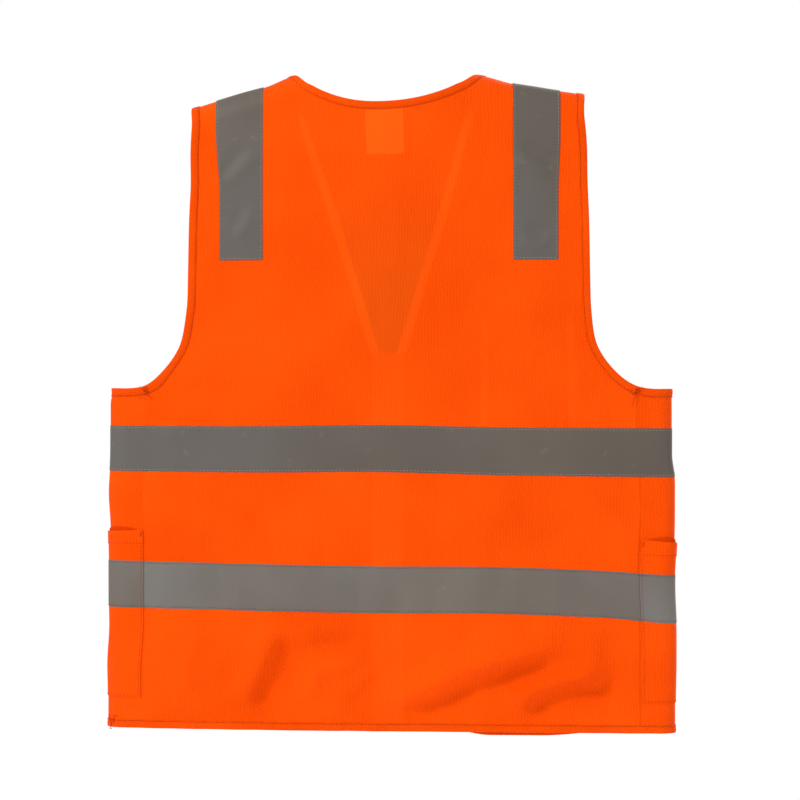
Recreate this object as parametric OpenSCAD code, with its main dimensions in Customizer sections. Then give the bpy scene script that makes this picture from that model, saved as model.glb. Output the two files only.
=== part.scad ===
// High visibility vest with a front zip, hanging open-necked as on a wearer's shoulders.
// +Z is up and the front faces -Y. The origin lies midway between the shoulders,
// level with the two points where the neck edge meets the shoulder seams.
// Every fabric layer is a shell at its own distance r from the middle plane y = 0:
// flat sheets front and back, a half-round bend at each side and an arch over each shoulder.

/* [Vest] */
// Width across the side bends
vest_w = 601; // [590:1:612]
// Length from the neck points down to the hem
vest_h = 698; // [690:1:715]
// Depth from the front panel's face to the back panel's face
vest_d = 44; // [42:1:50]
// Thickness of the knitted fabric
cloth_t = 1; // [0.8:0.1:1.2]
// Width of the binding sewn round every edge
bind_w = 8; // [7:0.5:9]

/* [Neck and shoulders] */
// Half the width of the neck at the shoulder seams
neck_half = 98; // [94:1:102]
// How far the back neck dips below the shoulders
neck_dip = 29; // [25:1:33]
// Distance of each shoulder's outer end from the centre
shoulder_x = 209; // [204:1:212]
// How far each shoulder's outer end lies below its neck end
shoulder_drop = 24; // [16:1:30]

/* [Reflective tape] */
// Width of the reflective tape
tape_w = 50; // [48:1:52]
// Thickness of the reflective tape
tape_t = 0.4; // [0.3:0.05:0.5]
// Height of the upper band's top edge below the origin
upper_band = 374; // [374:1:384]
// Height of the lower band's top edge below the origin
lower_band = 524; // [516:1:532]
// Inner edge of each shoulder tape on the flat of the panel
shoulder_tape_x = 133; // [128:1:138]
// How far the shoulder tapes reach below the origin
shoulder_tape_end = 198; // [190:1:210]

/* [Pockets] */
// Room between a pocket and the panel behind it
pocket_room = 5; // [4.8:0.1:6]
// Front edge of each side pocket
side_pocket_front = 204; // [204:1:210]
// Mouth of the side pockets below the origin
side_pocket_top = 490; // [482:1:498]
// Bottom of the side pockets below the origin
side_pocket_bottom = 666; // [655:1:672]
// Width of the chest pocket on the wearer's right
chest_pocket_w = 100; // [90:1:104]
// Mouth of the chest pocket below the origin
chest_pocket_top = 254; // [250:1:264]
// Width of the clear identity pocket on the wearer's left
id_pocket_w = 92; // [86:1:92]
// Height of the clear identity pocket
id_pocket_h = 72; // [60:1:74]

/* [Front zip] */
// Height of the zip's upper end below the origin
zip_top = 297; // [290:1:300]
// Distance between neighbouring teeth of one chain
tooth_pitch = 3; // [2.5:0.25:3.5]
// Length of the slider's travel down the zip
zip_travel = 366; // [300:1:366]
// Length of the pull tab
pull_l = 24; // [18:1:28]

/* [Hidden] */
$fn = 48;

ORANGE = [0.99, 0.34, 0.05];
TAPE_GREY = [0.5, 0.48, 0.46];
LEFT = 1;
RIGHT = -1;
FRONT = -1;
BACK = 1;
eps = 0.1; // air between pieces sewn to each other
past = 5; // how far a cutter runs past what it cuts

// Distances from the middle plane
r_out = vest_d / 2;
r_in = r_out - cloth_t;
r_bind = [r_in - 0.5, r_out + 0.5];
r_tape = [r_out + 0.2, r_out + 0.2 + tape_t];
r_seam = [r_in - 0.8, r_in - 0.2];
r_zip_tape = [r_in - 0.9, r_in - 0.2];
r_pocket = [r_out + eps, r_out + pocket_room, r_out + pocket_room + 1];
r_pocket_tape = [r_pocket[2] + 0.2, r_pocket[2] + 0.2 + tape_t];
bend_x = vest_w / 2 - r_out;
hem_z = -vest_h;
hem_top = hem_z + bind_w;
panel_end = hem_top + eps;

// Shoulder line, from the neck point outwards
shoulder_slope = atan2(shoulder_drop, shoulder_x - neck_half);
shoulder_l = norm([shoulder_x - neck_half, shoulder_drop]);

// Neck edge of the back, a circle through both neck points
neck_r = (neck_half * neck_half + neck_dip * neck_dip) / (2 * neck_dip);
neck_z = neck_r - neck_dip;

// Armhole edge: nearly straight, then a quarter of an ellipse into the side
arm_low = -335;
arm_round_top = -262;
arm_round_x = 218;

// Side seams lie on the back, inside the side bends
side_seam_x = 262;
seam_allowance = 10;

// Front edges: a V down to the zip, then the zip itself
v_knee = [86, -56];
v_foot = [10, -zip_top];
zip_edge_x = 7; // edge of each front panel beside the zip
zip_bottom = hem_top + 1;

// Fold lines about which the front edges swing open
fold_top = [91, -36];
fold_lean_left = 0.155; // outward run for each unit down, clear of the identity pocket
fold_lean_right = 0; // straight down, clear of the chest pocket
fold_gap_flap = 0.4;
fold_gap_side = 2.8;

// Pockets
pocket_wall = 1.2;
pocket_back_x = side_seam_x + 2;
chest_pocket_inner = fold_top[0] + 7.5;
id_inner = 28;
id_low = -upper_band + 8;
id_border = 6;
film_t = 0.5;

// Care label inside the back neck
label_w = 40;
label_h = 48;

// Zip chains
zip_tape_x = [5, 17];
tooth_r = [r_out - 2.2, r_out + 0.4];
tooth_h = 1.5;
tooth_tip = 0.5;
tooth_root = 2.4;
spine = 3.4;
box_h = 9;
stop_h = 2.5;

// Slider, with its pull on a pivot pin
slider_h = 11;
slider_half = 4.4;
slider_cut = 3; // height over which the slider narrows to its mouth
slider_top = -zip_top - 4;
slider_low = slider_top - slider_h;
slider_front_r = [r_out + 1, r_out + 2.2];
slider_back_r = [r_out - 3.8, r_out - 2.6];
slider_wall = 0.6;
lug = [2, 2.9];
lug_half_h = 1.5;
pivot_z = slider_top - 2.5;
pivot_r = r_out + 4.3;
pin_r = 0.6;
pin_play = 0.12;
pull_r = 1.6;
pull_half_t = 0.7;
pull_half_w = [1.7, 3.2]; // at the pivot and at the grip
left_chain_top = slider_low - 3.8; // the left chain starts below the parked slider
right_chain_top = slider_top;

function fold_lean(s) = s > 0 ? fold_lean_left : fold_lean_right;
function fold_x(s, z) = fold_top[0] + fold_lean(s) * (fold_top[1] - z);
function unit(v) = v / norm(v);
function right_of(v) = [v[1], -v[0]];

// A path moved sideways by d to its right; its two ends are given
function beside(p, d, first, last) = concat([first],
    [for (i = [1:len(p) - 2]) p[i] + d * right_of(unit(p[i + 1] - p[i - 1]))], [last]);
function reversed(p) = [for (i = [len(p) - 1:-1:0]) p[i]];

// Both edges start above the shoulder, so an outline cuts the shoulder arch as well
armhole = concat([[shoulder_x, past], [shoulder_x + 0.5, -shoulder_drop], [212, -90], [216.5, -212]],
    [for (t = [0:15:90]) [bend_x - (bend_x - arm_round_x) * cos(t),
        arm_round_top + (arm_low - arm_round_top) * sin(t)]]);
function armhole_inset(d) = beside(armhole, d, [shoulder_x - d, past], [bend_x, arm_low - d]);

v_edge = [[neck_half, past], [neck_half - 2, -20], v_knee, v_foot];
function v_inset(d) = beside(v_edge, -d, [neck_half + d, past], v_foot + [d * 1.05, 0]);

// ---- Building shells ----

// A flat sheet on one side, between two distances, from an outline drawn in X and Z
module sheet(side, r) {
    translate([0, side * (r[0] + r[1]) / 2, 0])
        rotate([90, 0, 0])
            linear_extrude(r[1] - r[0], center = true)
                children();
}

// Mirrors what is drawn for the wearer's left
module on(s) {
    mirror([s < 0 ? 1 : 0, 0, 0])
        children();
}

// The half-round bend at the wearer's left side
module bend(r, low, high) {
    translate([bend_x, 0, low])
        rotate([0, 0, -90])
            rotate_extrude(angle = 180)
                translate([r[0], 0])
                    square([r[1] - r[0], high - low]);
}

// Moves what is drawn along +Z to lie along the left shoulder, with -X as its top
module along_shoulder(start) {
    translate([neck_half, 0, 0])
        rotate([0, 90 + shoulder_slope, 0])
            translate([r_out, 0, start])
                children();
}

// A layer that arches over the left shoulder and hangs straight down front, back or both,
// cut to an outline drawn in X and Z
module saddle(r, sides) {
    inward = 120;
    outward = 350;
    intersection() {
        along_shoulder(-inward)
            linear_extrude(inward + outward)
                saddle_profile(r, sides);
        rotate([90, 0, 0])
            linear_extrude(3 * vest_d, center = true)
                children();
    }
}

module saddle_profile(r, sides) {
    low_y = min(sides) < 0 ? -vest_d : 0;
    high_y = max(sides) > 0 ? vest_d : 0;
    intersection() {
        u_profile(r);
        translate([-vest_d, low_y])
            square([vest_h + vest_d, high_y - low_y]);
    }
}

// A half ring that opens towards +X, with long straight legs
module u_profile(r) {
    difference() {
        arch_outline(r[1]);
        arch_outline(r[0]);
    }
}

module arch_outline(r) {
    circle(r);
    translate([0, -r])
        square([vest_h + vest_d, 2 * r]);
}

// The left side bend with short legs, drawn a hair inside the layers that they run into
module tucked_bend(r, low, high) {
    tuck = 0.02;
    leg = 2;
    translate([bend_x, 0, low + tuck])
        linear_extrude(high - low - 2 * tuck)
            mirror([1, 0])
                intersection() {
                    u_profile([r[0] + tuck, r[1] - tuck]);
                    translate([-vest_d, -vest_d])
                        square([vest_d + leg, 2 * vest_d]);
                }
}

// A rectangle drawn in X and Z
module block(x0, x1, low, high) {
    translate([x0, low])
        square([x1 - x0, high - low]);
}

// The back neck opening made larger by d; it closes above the shoulders
module neck_hole(d) {
    reach = 40;
    polygon([for (a = [-reach:4:reach])
        [(neck_r + d) * sin(a), neck_z - (neck_r + d) * cos(a)]]);
}

// The side of the fold line that stays on the wearer, for the wearer's left or right
module beyond_fold(s) {
    inner_x = fold_top[0] - 30;
    polygon([[fold_top[0] + fold_gap_side, fold_top[1]], [inner_x, fold_top[1]], [inner_x, 2 * past],
        [vest_w, 2 * past], [vest_w, hem_z - past],
        [fold_x(s, hem_z - past) + fold_gap_side, hem_z - past]]);
}

// The side of the fold line that swings open
module inside_fold(s) {
    high = fold_top[1] - 2;
    polygon([[0, high], [fold_x(s, high) - fold_gap_flap, high],
        [fold_x(s, hem_z - past) - fold_gap_flap, hem_z - past], [0, hem_z - past]]);
}

// A panel's left half, from an inner edge given upwards to the armhole and the bend
module half_outline(inner_edge) {
    polygon(concat(inner_edge, armhole_inset(bind_w + eps),
        [[bend_x, panel_end], [inner_edge[0][0], panel_end]]));
}

// ---- Panels ----

module back_panel() {
    lap = 1;
    color(ORANGE)
        for (s = [LEFT, RIGHT])
            on(s)
                saddle([r_in, r_out], [BACK])
                    difference() {
                        intersection() {
                            half_outline([[-lap, panel_end], [-lap, past]]);
                            block(-lap, side_seam_x, hem_z, past);
                        }
                        neck_hole(bind_w + eps);
                    }
}

// The part of a front panel that stays put: shoulder, side, and round to the side seam
module front_panel(s) {
    color(ORANGE)
        on(s) {
            saddle([r_in, r_out], [FRONT])
                intersection() {
                    half_outline(reversed(v_inset(bind_w + eps)));
                    beyond_fold(s);
                }
            tucked_bend([r_in, r_out], panel_end, arm_low - bind_w - eps);
            sheet(BACK, [r_in, r_out])
                intersection() {
                    half_outline([[0, panel_end], [0, past]]);
                    block(side_seam_x + 2 * eps, bend_x, hem_z, past);
                }
        }
}

// The part of a front panel between the fold line and the zip
module front_flap(s) {
    v = v_inset(bind_w + eps);
    color(ORANGE)
        on(s)
            sheet(FRONT, [r_in, r_out])
                intersection() {
                    polygon(concat(v, [[zip_edge_x, v_foot[1] - eps], [zip_edge_x, panel_end],
                        [bend_x, panel_end], [bend_x, v[0][1]]]));
                    inside_fold(s);
                }
}

// ---- Bindings ----

module neck_binding() {
    lap = 1;
    color(ORANGE)
        for (s = [LEFT, RIGHT])
            on(s) {
                saddle(r_bind, [BACK])
                    intersection() {
                        difference() {
                            neck_hole(bind_w);
                            neck_hole(0);
                        }
                        block(-lap, shoulder_x, -neck_half, past);
                    }
                saddle(r_bind, [FRONT])
                    intersection() {
                        v_strip();
                        block(0, shoulder_x, fold_top[1], past);
                    }
            }
}

module v_strip() {
    polygon(concat(v_edge, reversed(v_inset(bind_w))));
}

module v_binding(s) {
    color(ORANGE)
        on(s)
            sheet(FRONT, r_bind)
                intersection() {
                    v_strip();
                    inside_fold(s);
                }
}

module armhole_binding(s) {
    color(ORANGE)
        on(s) {
            saddle(r_bind, [FRONT, BACK])
                polygon(concat(armhole, reversed(armhole_inset(bind_w))));
            tucked_bend(r_bind, arm_low - bind_w, arm_low);
        }
}

// A band that runs round the back and both sides to the fold lines
module band(r, low, high) {
    sheet(BACK, r)
        block(-bend_x, bend_x, low, high);
    for (s = [LEFT, RIGHT])
        on(s) {
            bend(r, low, high);
            sheet(FRONT, r)
                intersection() {
                    block(0, bend_x, low, high);
                    beyond_fold(s);
                }
        }
}

// The stretch of a band between a fold line and the front edge
module flap_band(s, r, inner, low, high) {
    on(s)
        sheet(FRONT, r)
            intersection() {
                block(inner, bend_x, low, high);
                inside_fold(s);
            }
}

module hem_binding() {
    color(ORANGE)
        band(r_bind, hem_z, hem_top);
}

// The strip stops beside the zip's pin and box
module flap_hem_binding(s) {
    color(ORANGE)
        flap_band(s, r_bind, slider_half + 2 * eps, hem_z, hem_top);
}

// ---- Reflective tape ----

module upper_tape() {
    color(TAPE_GREY)
        band(r_tape, -upper_band - tape_w, -upper_band);
}

module flap_tape(s, top) {
    color(TAPE_GREY)
        flap_band(s, r_tape, zip_edge_x, -top - tape_w, -top);
}

module back_lower_tape() {
    color(TAPE_GREY)
        sheet(BACK, r_tape)
            block(-side_seam_x, side_seam_x, -lower_band - tape_w, -lower_band);
}

// From the fold line to the front edge of the side pocket
module side_lower_tape(s) {
    gap = 0.5;
    color(TAPE_GREY)
        on(s)
            sheet(FRONT, r_tape)
                intersection() {
                    block(0, side_pocket_front - gap, -lower_band - tape_w, -lower_band);
                    beyond_fold(s);
                }
}

module pocket_tape(s) {
    color(TAPE_GREY)
        on(s)
            round_side(r_pocket_tape, side_pocket_front, pocket_back_x,
                -lower_band - tape_w, -lower_band);
}

module shoulder_tape(s) {
    color(TAPE_GREY)
        on(s)
            saddle(r_tape, [FRONT, BACK])
                block(shoulder_tape_x, shoulder_tape_x + tape_w, -shoulder_tape_end, past);
}

// ---- Pockets ----

// A layer from the front, round the bend and onto the back
module round_side(r, front_x, back_x, low, high) {
    sheet(FRONT, r)
        block(front_x, bend_x, low, high);
    bend(r, low, high);
    sheet(BACK, r)
        block(back_x, bend_x, low, high);
}

// A pocket's whole block with its hollow cut out from the mouth down
module side_pocket(s) {
    color(ORANGE)
        on(s)
            difference() {
                round_side([r_pocket[0], r_pocket[2]], side_pocket_front, pocket_back_x,
                    -side_pocket_bottom, -side_pocket_top);
                round_side([r_pocket[0] - past, r_pocket[1]], side_pocket_front + pocket_wall,
                    pocket_back_x + pocket_wall, -side_pocket_bottom + pocket_wall,
                    -side_pocket_top + past);
            }
}

module flat_pocket(inner, wide, low, high) {
    difference() {
        sheet(FRONT, [r_pocket[0], r_pocket[2]])
            block(inner, inner + wide, low, high);
        sheet(FRONT, [r_pocket[0] - past, r_pocket[1]])
            block(inner + pocket_wall, inner + wide - pocket_wall, low + pocket_wall, high + past);
    }
}

module chest_pocket() {
    color(ORANGE)
        on(RIGHT)
            flat_pocket(chest_pocket_inner, chest_pocket_w, -upper_band + 2, -chest_pocket_top);
}

module id_pocket_frame() {
    color(ORANGE)
        difference() {
            flat_pocket(id_inner, id_pocket_w, id_low, id_low + id_pocket_h);
            sheet(FRONT, [r_pocket[1] - past, r_pocket[2] + past])
                id_pocket_opening(0);
        }
}

module id_pocket_window() {
    color([0.85, 0.9, 0.92, 0.4])
        sheet(FRONT, [r_pocket[1] + 0.2, r_pocket[1] + 0.2 + film_t])
            id_pocket_opening(eps);
}

module id_pocket_opening(inset) {
    edge = id_border + inset;
    block(id_inner + edge, id_inner + id_pocket_w - edge, id_low + edge, id_low + id_pocket_h - edge);
}

// ---- Inside of the vest ----

module care_label() {
    top = -neck_dip - bind_w - eps;
    color([0.94, 0.93, 0.9])
        sheet(BACK, r_seam)
            block(-label_w / 2, label_w / 2, top - label_h, top);
}

module shoulder_seam(s) {
    half_angle = asin(seam_allowance / 2 / r_in);
    start = bind_w + 5;
    color(ORANGE)
        on(s)
            along_shoulder(start)
                rotate([0, 0, 180 - half_angle])
                    rotate_extrude(angle = 2 * half_angle)
                        translate([r_seam[0], 0])
                            square([r_seam[1] - r_seam[0], shoulder_l - start - bind_w - 3]);
}

module side_seam(s) {
    color(ORANGE)
        on(s)
            sheet(BACK, r_seam)
                block(side_seam_x, side_seam_x + seam_allowance, panel_end + 1, arm_low - bind_w - 4);
}

// ---- Zip ----

module zip_tape(s) {
    color(ORANGE)
        on(s)
            sheet(FRONT, r_zip_tape)
                block(zip_tape_x[0], zip_tape_x[1], zip_bottom, -zip_top - 1);
}

// One chain: a comb of teeth on a spine, with the cord that the tape is woven to
module zip_teeth(s, high) {
    first = zip_bottom + 0.4 + (s > 0 ? 0 : tooth_pitch / 2);
    count = floor((high - first - tooth_h) / tooth_pitch);
    color([0.98, 0.4, 0.1])
        on(s) {
            sheet(FRONT, tooth_r)
                polygon(concat([[spine, high], [spine, zip_bottom], [tooth_root, zip_bottom]],
                    [for (i = [0:count - 1], corner = [0:3])
                        [corner == 0 || corner == 3 ? tooth_root : tooth_tip,
                            first + i * tooth_pitch + (corner > 1 ? tooth_h : 0)]],
                    [[tooth_root, high]]));
            sheet(FRONT, r_zip_tape)
                block(tooth_root, zip_tape_x[0] - eps, zip_bottom, high);
        }
}

module top_stop(s, low) {
    color("silver")
        on(s)
            sheet(FRONT, [tooth_r[0] - 0.1, tooth_r[1] + 0.1])
                block(tooth_tip, spine, low + eps, low + stop_h);
}

module insertion_pin() {
    color("silver")
        sheet(FRONT, [tooth_r[0] + 0.2, tooth_r[1] + 0.1])
            block(tooth_tip, spine + 0.6, zip_bottom - box_h, zip_bottom - eps);
}

module retainer_box() {
    color("silver")
        on(RIGHT)
            sheet(FRONT, [tooth_r[0] - 0.4, tooth_r[1] + 0.4])
                block(tooth_tip / 2, slider_half, zip_bottom - box_h, zip_bottom - eps);
}

// Two plates joined by a wedge, with a side wall on each edge and two lugs for the pull's pin
module zip_slider() {
    lap = 0.2;
    mouth_half = slider_half - 1;
    wedge_half = 0.25;
    color("silver") {
        for (r = [slider_front_r, slider_back_r])
            sheet(FRONT, r)
                polygon([[-slider_half, slider_top], [slider_half, slider_top],
                    [slider_half, slider_low + slider_cut], [mouth_half, slider_low],
                    [-mouth_half, slider_low], [-slider_half, slider_low + slider_cut]]);
        sheet(FRONT, [slider_back_r[1] - lap, slider_front_r[0] + lap])
            block(-wedge_half, wedge_half, slider_top - 4, slider_top - 0.5);
        for (s = [LEFT, RIGHT])
            on(s) {
                sheet(FRONT, [r_out - 0.7, slider_front_r[0] + lap])
                    block(slider_half - slider_wall, slider_half,
                        slider_low + slider_cut, slider_top - 0.5);
                sheet(FRONT, [slider_front_r[1] - lap, pivot_r + 1.1])
                    block(lug[0], lug[1], pivot_z - lug_half_h, pivot_z + lug_half_h);
            }
        across_pull(2 * lug[1] - lap, pin_r);
    }
}

// A rod across the slider, on the pull's pivot
module across_pull(long, r) {
    translate([0, -pivot_r, pivot_z])
        rotate([0, 90, 0])
            cylinder(h = long, r = r, center = true);
}

// The left edge of the pull, from its pivot down to its rounded end
pull_edge = [[pull_half_w[0], pivot_z], [pull_half_w[0], pivot_z - 3.6], [pull_half_w[1], pivot_z - 6],
    [pull_half_w[1], pivot_z - pull_l + 2], [pull_half_w[1] - 1.2, pivot_z - pull_l]];

module pull_tab() {
    color("silver")
        difference() {
            union() {
                across_pull(2 * pull_half_w[0], pull_r);
                sheet(FRONT, [pivot_r - pull_half_t, pivot_r + pull_half_t])
                    polygon(concat(pull_edge, [for (p = reversed(pull_edge)) [-p[0], p[1]]]));
            }
            across_pull(4 * pull_half_w[0], pin_r + pin_play);
        }
}

back_panel();
front_panel(LEFT);  // left_front_panel
front_panel(RIGHT);  // right_front_panel
front_flap(LEFT);  // left_front_flap
front_flap(RIGHT);  // right_front_flap
neck_binding();
v_binding(LEFT);  // left_v_binding
v_binding(RIGHT);  // right_v_binding
armhole_binding(LEFT);  // left_armhole_binding
armhole_binding(RIGHT);  // right_armhole_binding
hem_binding();
flap_hem_binding(LEFT);  // left_hem_binding
flap_hem_binding(RIGHT);  // right_hem_binding
upper_tape();
flap_tape(LEFT, upper_band);  // left_upper_tape
flap_tape(RIGHT, upper_band);  // right_upper_tape
back_lower_tape();
side_lower_tape(LEFT);  // left_side_lower_tape
side_lower_tape(RIGHT);  // right_side_lower_tape
flap_tape(LEFT, lower_band);  // left_lower_tape
flap_tape(RIGHT, lower_band);  // right_lower_tape
pocket_tape(LEFT);  // left_pocket_tape
pocket_tape(RIGHT);  // right_pocket_tape
shoulder_tape(LEFT);  // left_shoulder_tape
shoulder_tape(RIGHT);  // right_shoulder_tape
side_pocket(LEFT);  // left_side_pocket
side_pocket(RIGHT);  // right_side_pocket
chest_pocket();
id_pocket_frame();
id_pocket_window();
care_label();
shoulder_seam(LEFT);  // left_shoulder_seam
shoulder_seam(RIGHT);  // right_shoulder_seam
side_seam(LEFT);  // left_side_seam
side_seam(RIGHT);  // right_side_seam
zip_tape(LEFT);  // left_zip_tape
zip_tape(RIGHT);  // right_zip_tape
zip_teeth(LEFT, left_chain_top);  // left_zip_teeth
zip_teeth(RIGHT, right_chain_top);  // right_zip_teeth
top_stop(LEFT, left_chain_top);  // left_top_stop
top_stop(RIGHT, right_chain_top);  // right_top_stop
insertion_pin();
retainer_box();
zip_slider();
pull_tab();
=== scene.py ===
import math

import bmesh
import bpy
import numpy as np
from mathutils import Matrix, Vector
from mathutils.geometry import delaunay_2d_cdt


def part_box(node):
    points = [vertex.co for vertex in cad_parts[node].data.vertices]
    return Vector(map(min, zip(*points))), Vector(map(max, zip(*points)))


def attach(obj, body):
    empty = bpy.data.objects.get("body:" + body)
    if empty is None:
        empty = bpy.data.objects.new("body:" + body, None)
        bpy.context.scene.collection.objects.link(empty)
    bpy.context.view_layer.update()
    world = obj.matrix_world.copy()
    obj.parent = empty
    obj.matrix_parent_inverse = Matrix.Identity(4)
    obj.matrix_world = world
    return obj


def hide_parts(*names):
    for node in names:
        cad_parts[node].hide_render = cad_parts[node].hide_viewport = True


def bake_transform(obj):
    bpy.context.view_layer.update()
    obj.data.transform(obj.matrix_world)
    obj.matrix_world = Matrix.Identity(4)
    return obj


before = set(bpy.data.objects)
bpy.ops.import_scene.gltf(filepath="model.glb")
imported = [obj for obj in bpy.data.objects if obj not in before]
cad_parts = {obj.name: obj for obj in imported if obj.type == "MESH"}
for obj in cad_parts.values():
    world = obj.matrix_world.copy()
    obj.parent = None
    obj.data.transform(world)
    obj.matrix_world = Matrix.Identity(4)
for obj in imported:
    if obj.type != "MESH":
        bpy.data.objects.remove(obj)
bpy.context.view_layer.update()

# ---------------------------------------------------------------- camera, light and stage

CENTRE = Vector((-0.0128, 0, -0.3467))  # the middle of the picture
VIEW_WIDTH = 0.856  # what the picture spans at the vest
camera_data = bpy.data.cameras.new("camera")
camera_data.lens = 120
camera_data.sensor_width = 36
camera = bpy.data.objects.new("camera", camera_data)
bpy.context.scene.collection.objects.link(camera)
camera.location = CENTRE + Vector((0, VIEW_WIDTH * camera_data.lens / camera_data.sensor_width, 0))
camera.rotation_euler = (math.radians(90), 0, math.radians(180))
bpy.context.scene.camera = camera
bpy.context.scene.view_settings.view_transform = "Standard"


def area_light(name, place, size, power):
    data = bpy.data.lights.new(name, "AREA")
    data.size = size
    data.energy = power
    light = bpy.data.objects.new(name, data)
    bpy.context.scene.collection.objects.link(light)
    light.location = place
    light.rotation_euler = (CENTRE - Vector(place)).to_track_quat("-Z", "Y").to_euler()


area_light("key", (2.2, 2.0, 1.7), 1.0, 150)
area_light("front_key", (-1.8, -2.4, 1.2), 1.4, 170)
area_light("low_fill", (-2.4, 1.6, -0.3), 1.4, 20)

world = bpy.data.worlds.new("studio")
bpy.context.scene.world = world
world.use_nodes = True
world.node_tree.nodes["Background"].inputs["Color"].default_value = (1, 1, 1, 1)
world.node_tree.nodes["Background"].inputs["Strength"].default_value = 1.0


# ---------------------------------------------------------------- sizes, in metres, from the CAD

def rows_of(node):
    """The lower and upper edge of a CAD node."""
    low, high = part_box(node)
    return low.z, high.z


HEM_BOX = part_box("hem_binding")
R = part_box("back_panel")[1].y - 0.0005  # the cloth's middle, from the plane y = 0
BEND = HEM_BOX[1].x - HEM_BOX[1].y  # where the flat of the back and front ends
HEM = HEM_BOX[0].z
TURN = math.pi * R  # cloth used up by going round a side or over a shoulder
SLOPE = math.radians(12.2)  # of the shoulders
NECK, NECK_DIP = 0.098, 0.029  # half width at the neck points, and the back neck's depth
SHOULDER = 0.209
BIND = 0.008  # width of a finished binding
AXIS = (NECK - 0.022 * math.sin(SLOPE), -0.022 * math.cos(SLOPE))  # the shoulder line's round
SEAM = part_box("back_panel")[1].x
UPPER, LOWER = rows_of("upper_tape"), rows_of("back_lower_tape")
SHOULDER_TAPE = (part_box("left_shoulder_tape")[0].x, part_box("left_shoulder_tape")[1].x,
                 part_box("left_shoulder_tape")[0].z)
SIDE_POCKET = rows_of("left_side_pocket")
POCKET_BACK, POCKET_FRONT = SEAM + 0.002, 0.204
CHEST, CARD, LABEL = (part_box(node) for node in ("chest_pocket", "id_pocket_frame", "care_label"))
ZIP = rows_of("left_zip_tape")
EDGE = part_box("left_front_flap")[0].x
V_FOOT = (0.010, -0.297)


# ---------------------------------------------------------------- shape of the cloth

def smooth(low, high, x):
    t = np.clip((x - low) / (high - low), 0, 1)
    return t * t * (3 - 2 * t)


def curve(points, count):
    """Points evenly spread along a smooth curve through the given ones."""
    p = np.array(points, float)
    p = np.vstack([2 * p[0] - p[1], p, 2 * p[-1] - p[-2]])
    out = []
    for i in range(1, len(p) - 2):
        t = np.linspace(0, 1, 12, endpoint=False)[:, None]
        a, b, c, d = p[i - 1:i + 3]
        out.append(0.5 * (2 * b + (c - a) * t + (2 * a - 5 * b + 4 * c - d) * t ** 2
                          + (3 * b - a - 3 * c + d) * t ** 3))
    return even(np.vstack([*out, p[-2:-1]]), count)


def even(path, count):
    """The same path with evenly spread points."""
    s = lengths(path)
    t = np.linspace(0, s[-1], count)
    return np.stack([np.interp(t, s, path[:, k]) for k in (0, 1)], 1)


def straight(a, b, count):
    return even(np.array([a, b]), count)


def lengths(path):
    return np.concatenate([[0], np.cumsum(np.linalg.norm(np.diff(path, axis=0), axis=1))])


def from_line(x, z, path):
    """Signed distance from a bent line, and how far along it from 0 to 1."""
    best = np.full(x.shape, 1e9)
    signed, share = np.zeros(x.shape), np.zeros(x.shape)
    for i in range(len(path) - 1):
        a, d = path[i], path[i + 1] - path[i]
        t = np.clip(((x - a[0]) * d[0] + (z - a[1]) * d[1]) / (d @ d), 0, 1)
        ex, ez = x - a[0] - t * d[0], z - a[1] - t * d[1]
        dist = np.hypot(ex, ez)
        closer = dist < best
        best = np.where(closer, dist, best)
        signed = np.where(closer, np.sign(d[0] * ez - d[1] * ex) * dist, signed)
        share = np.where(closer, (i + t) / (len(path) - 1), share)
    return signed, share


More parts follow.
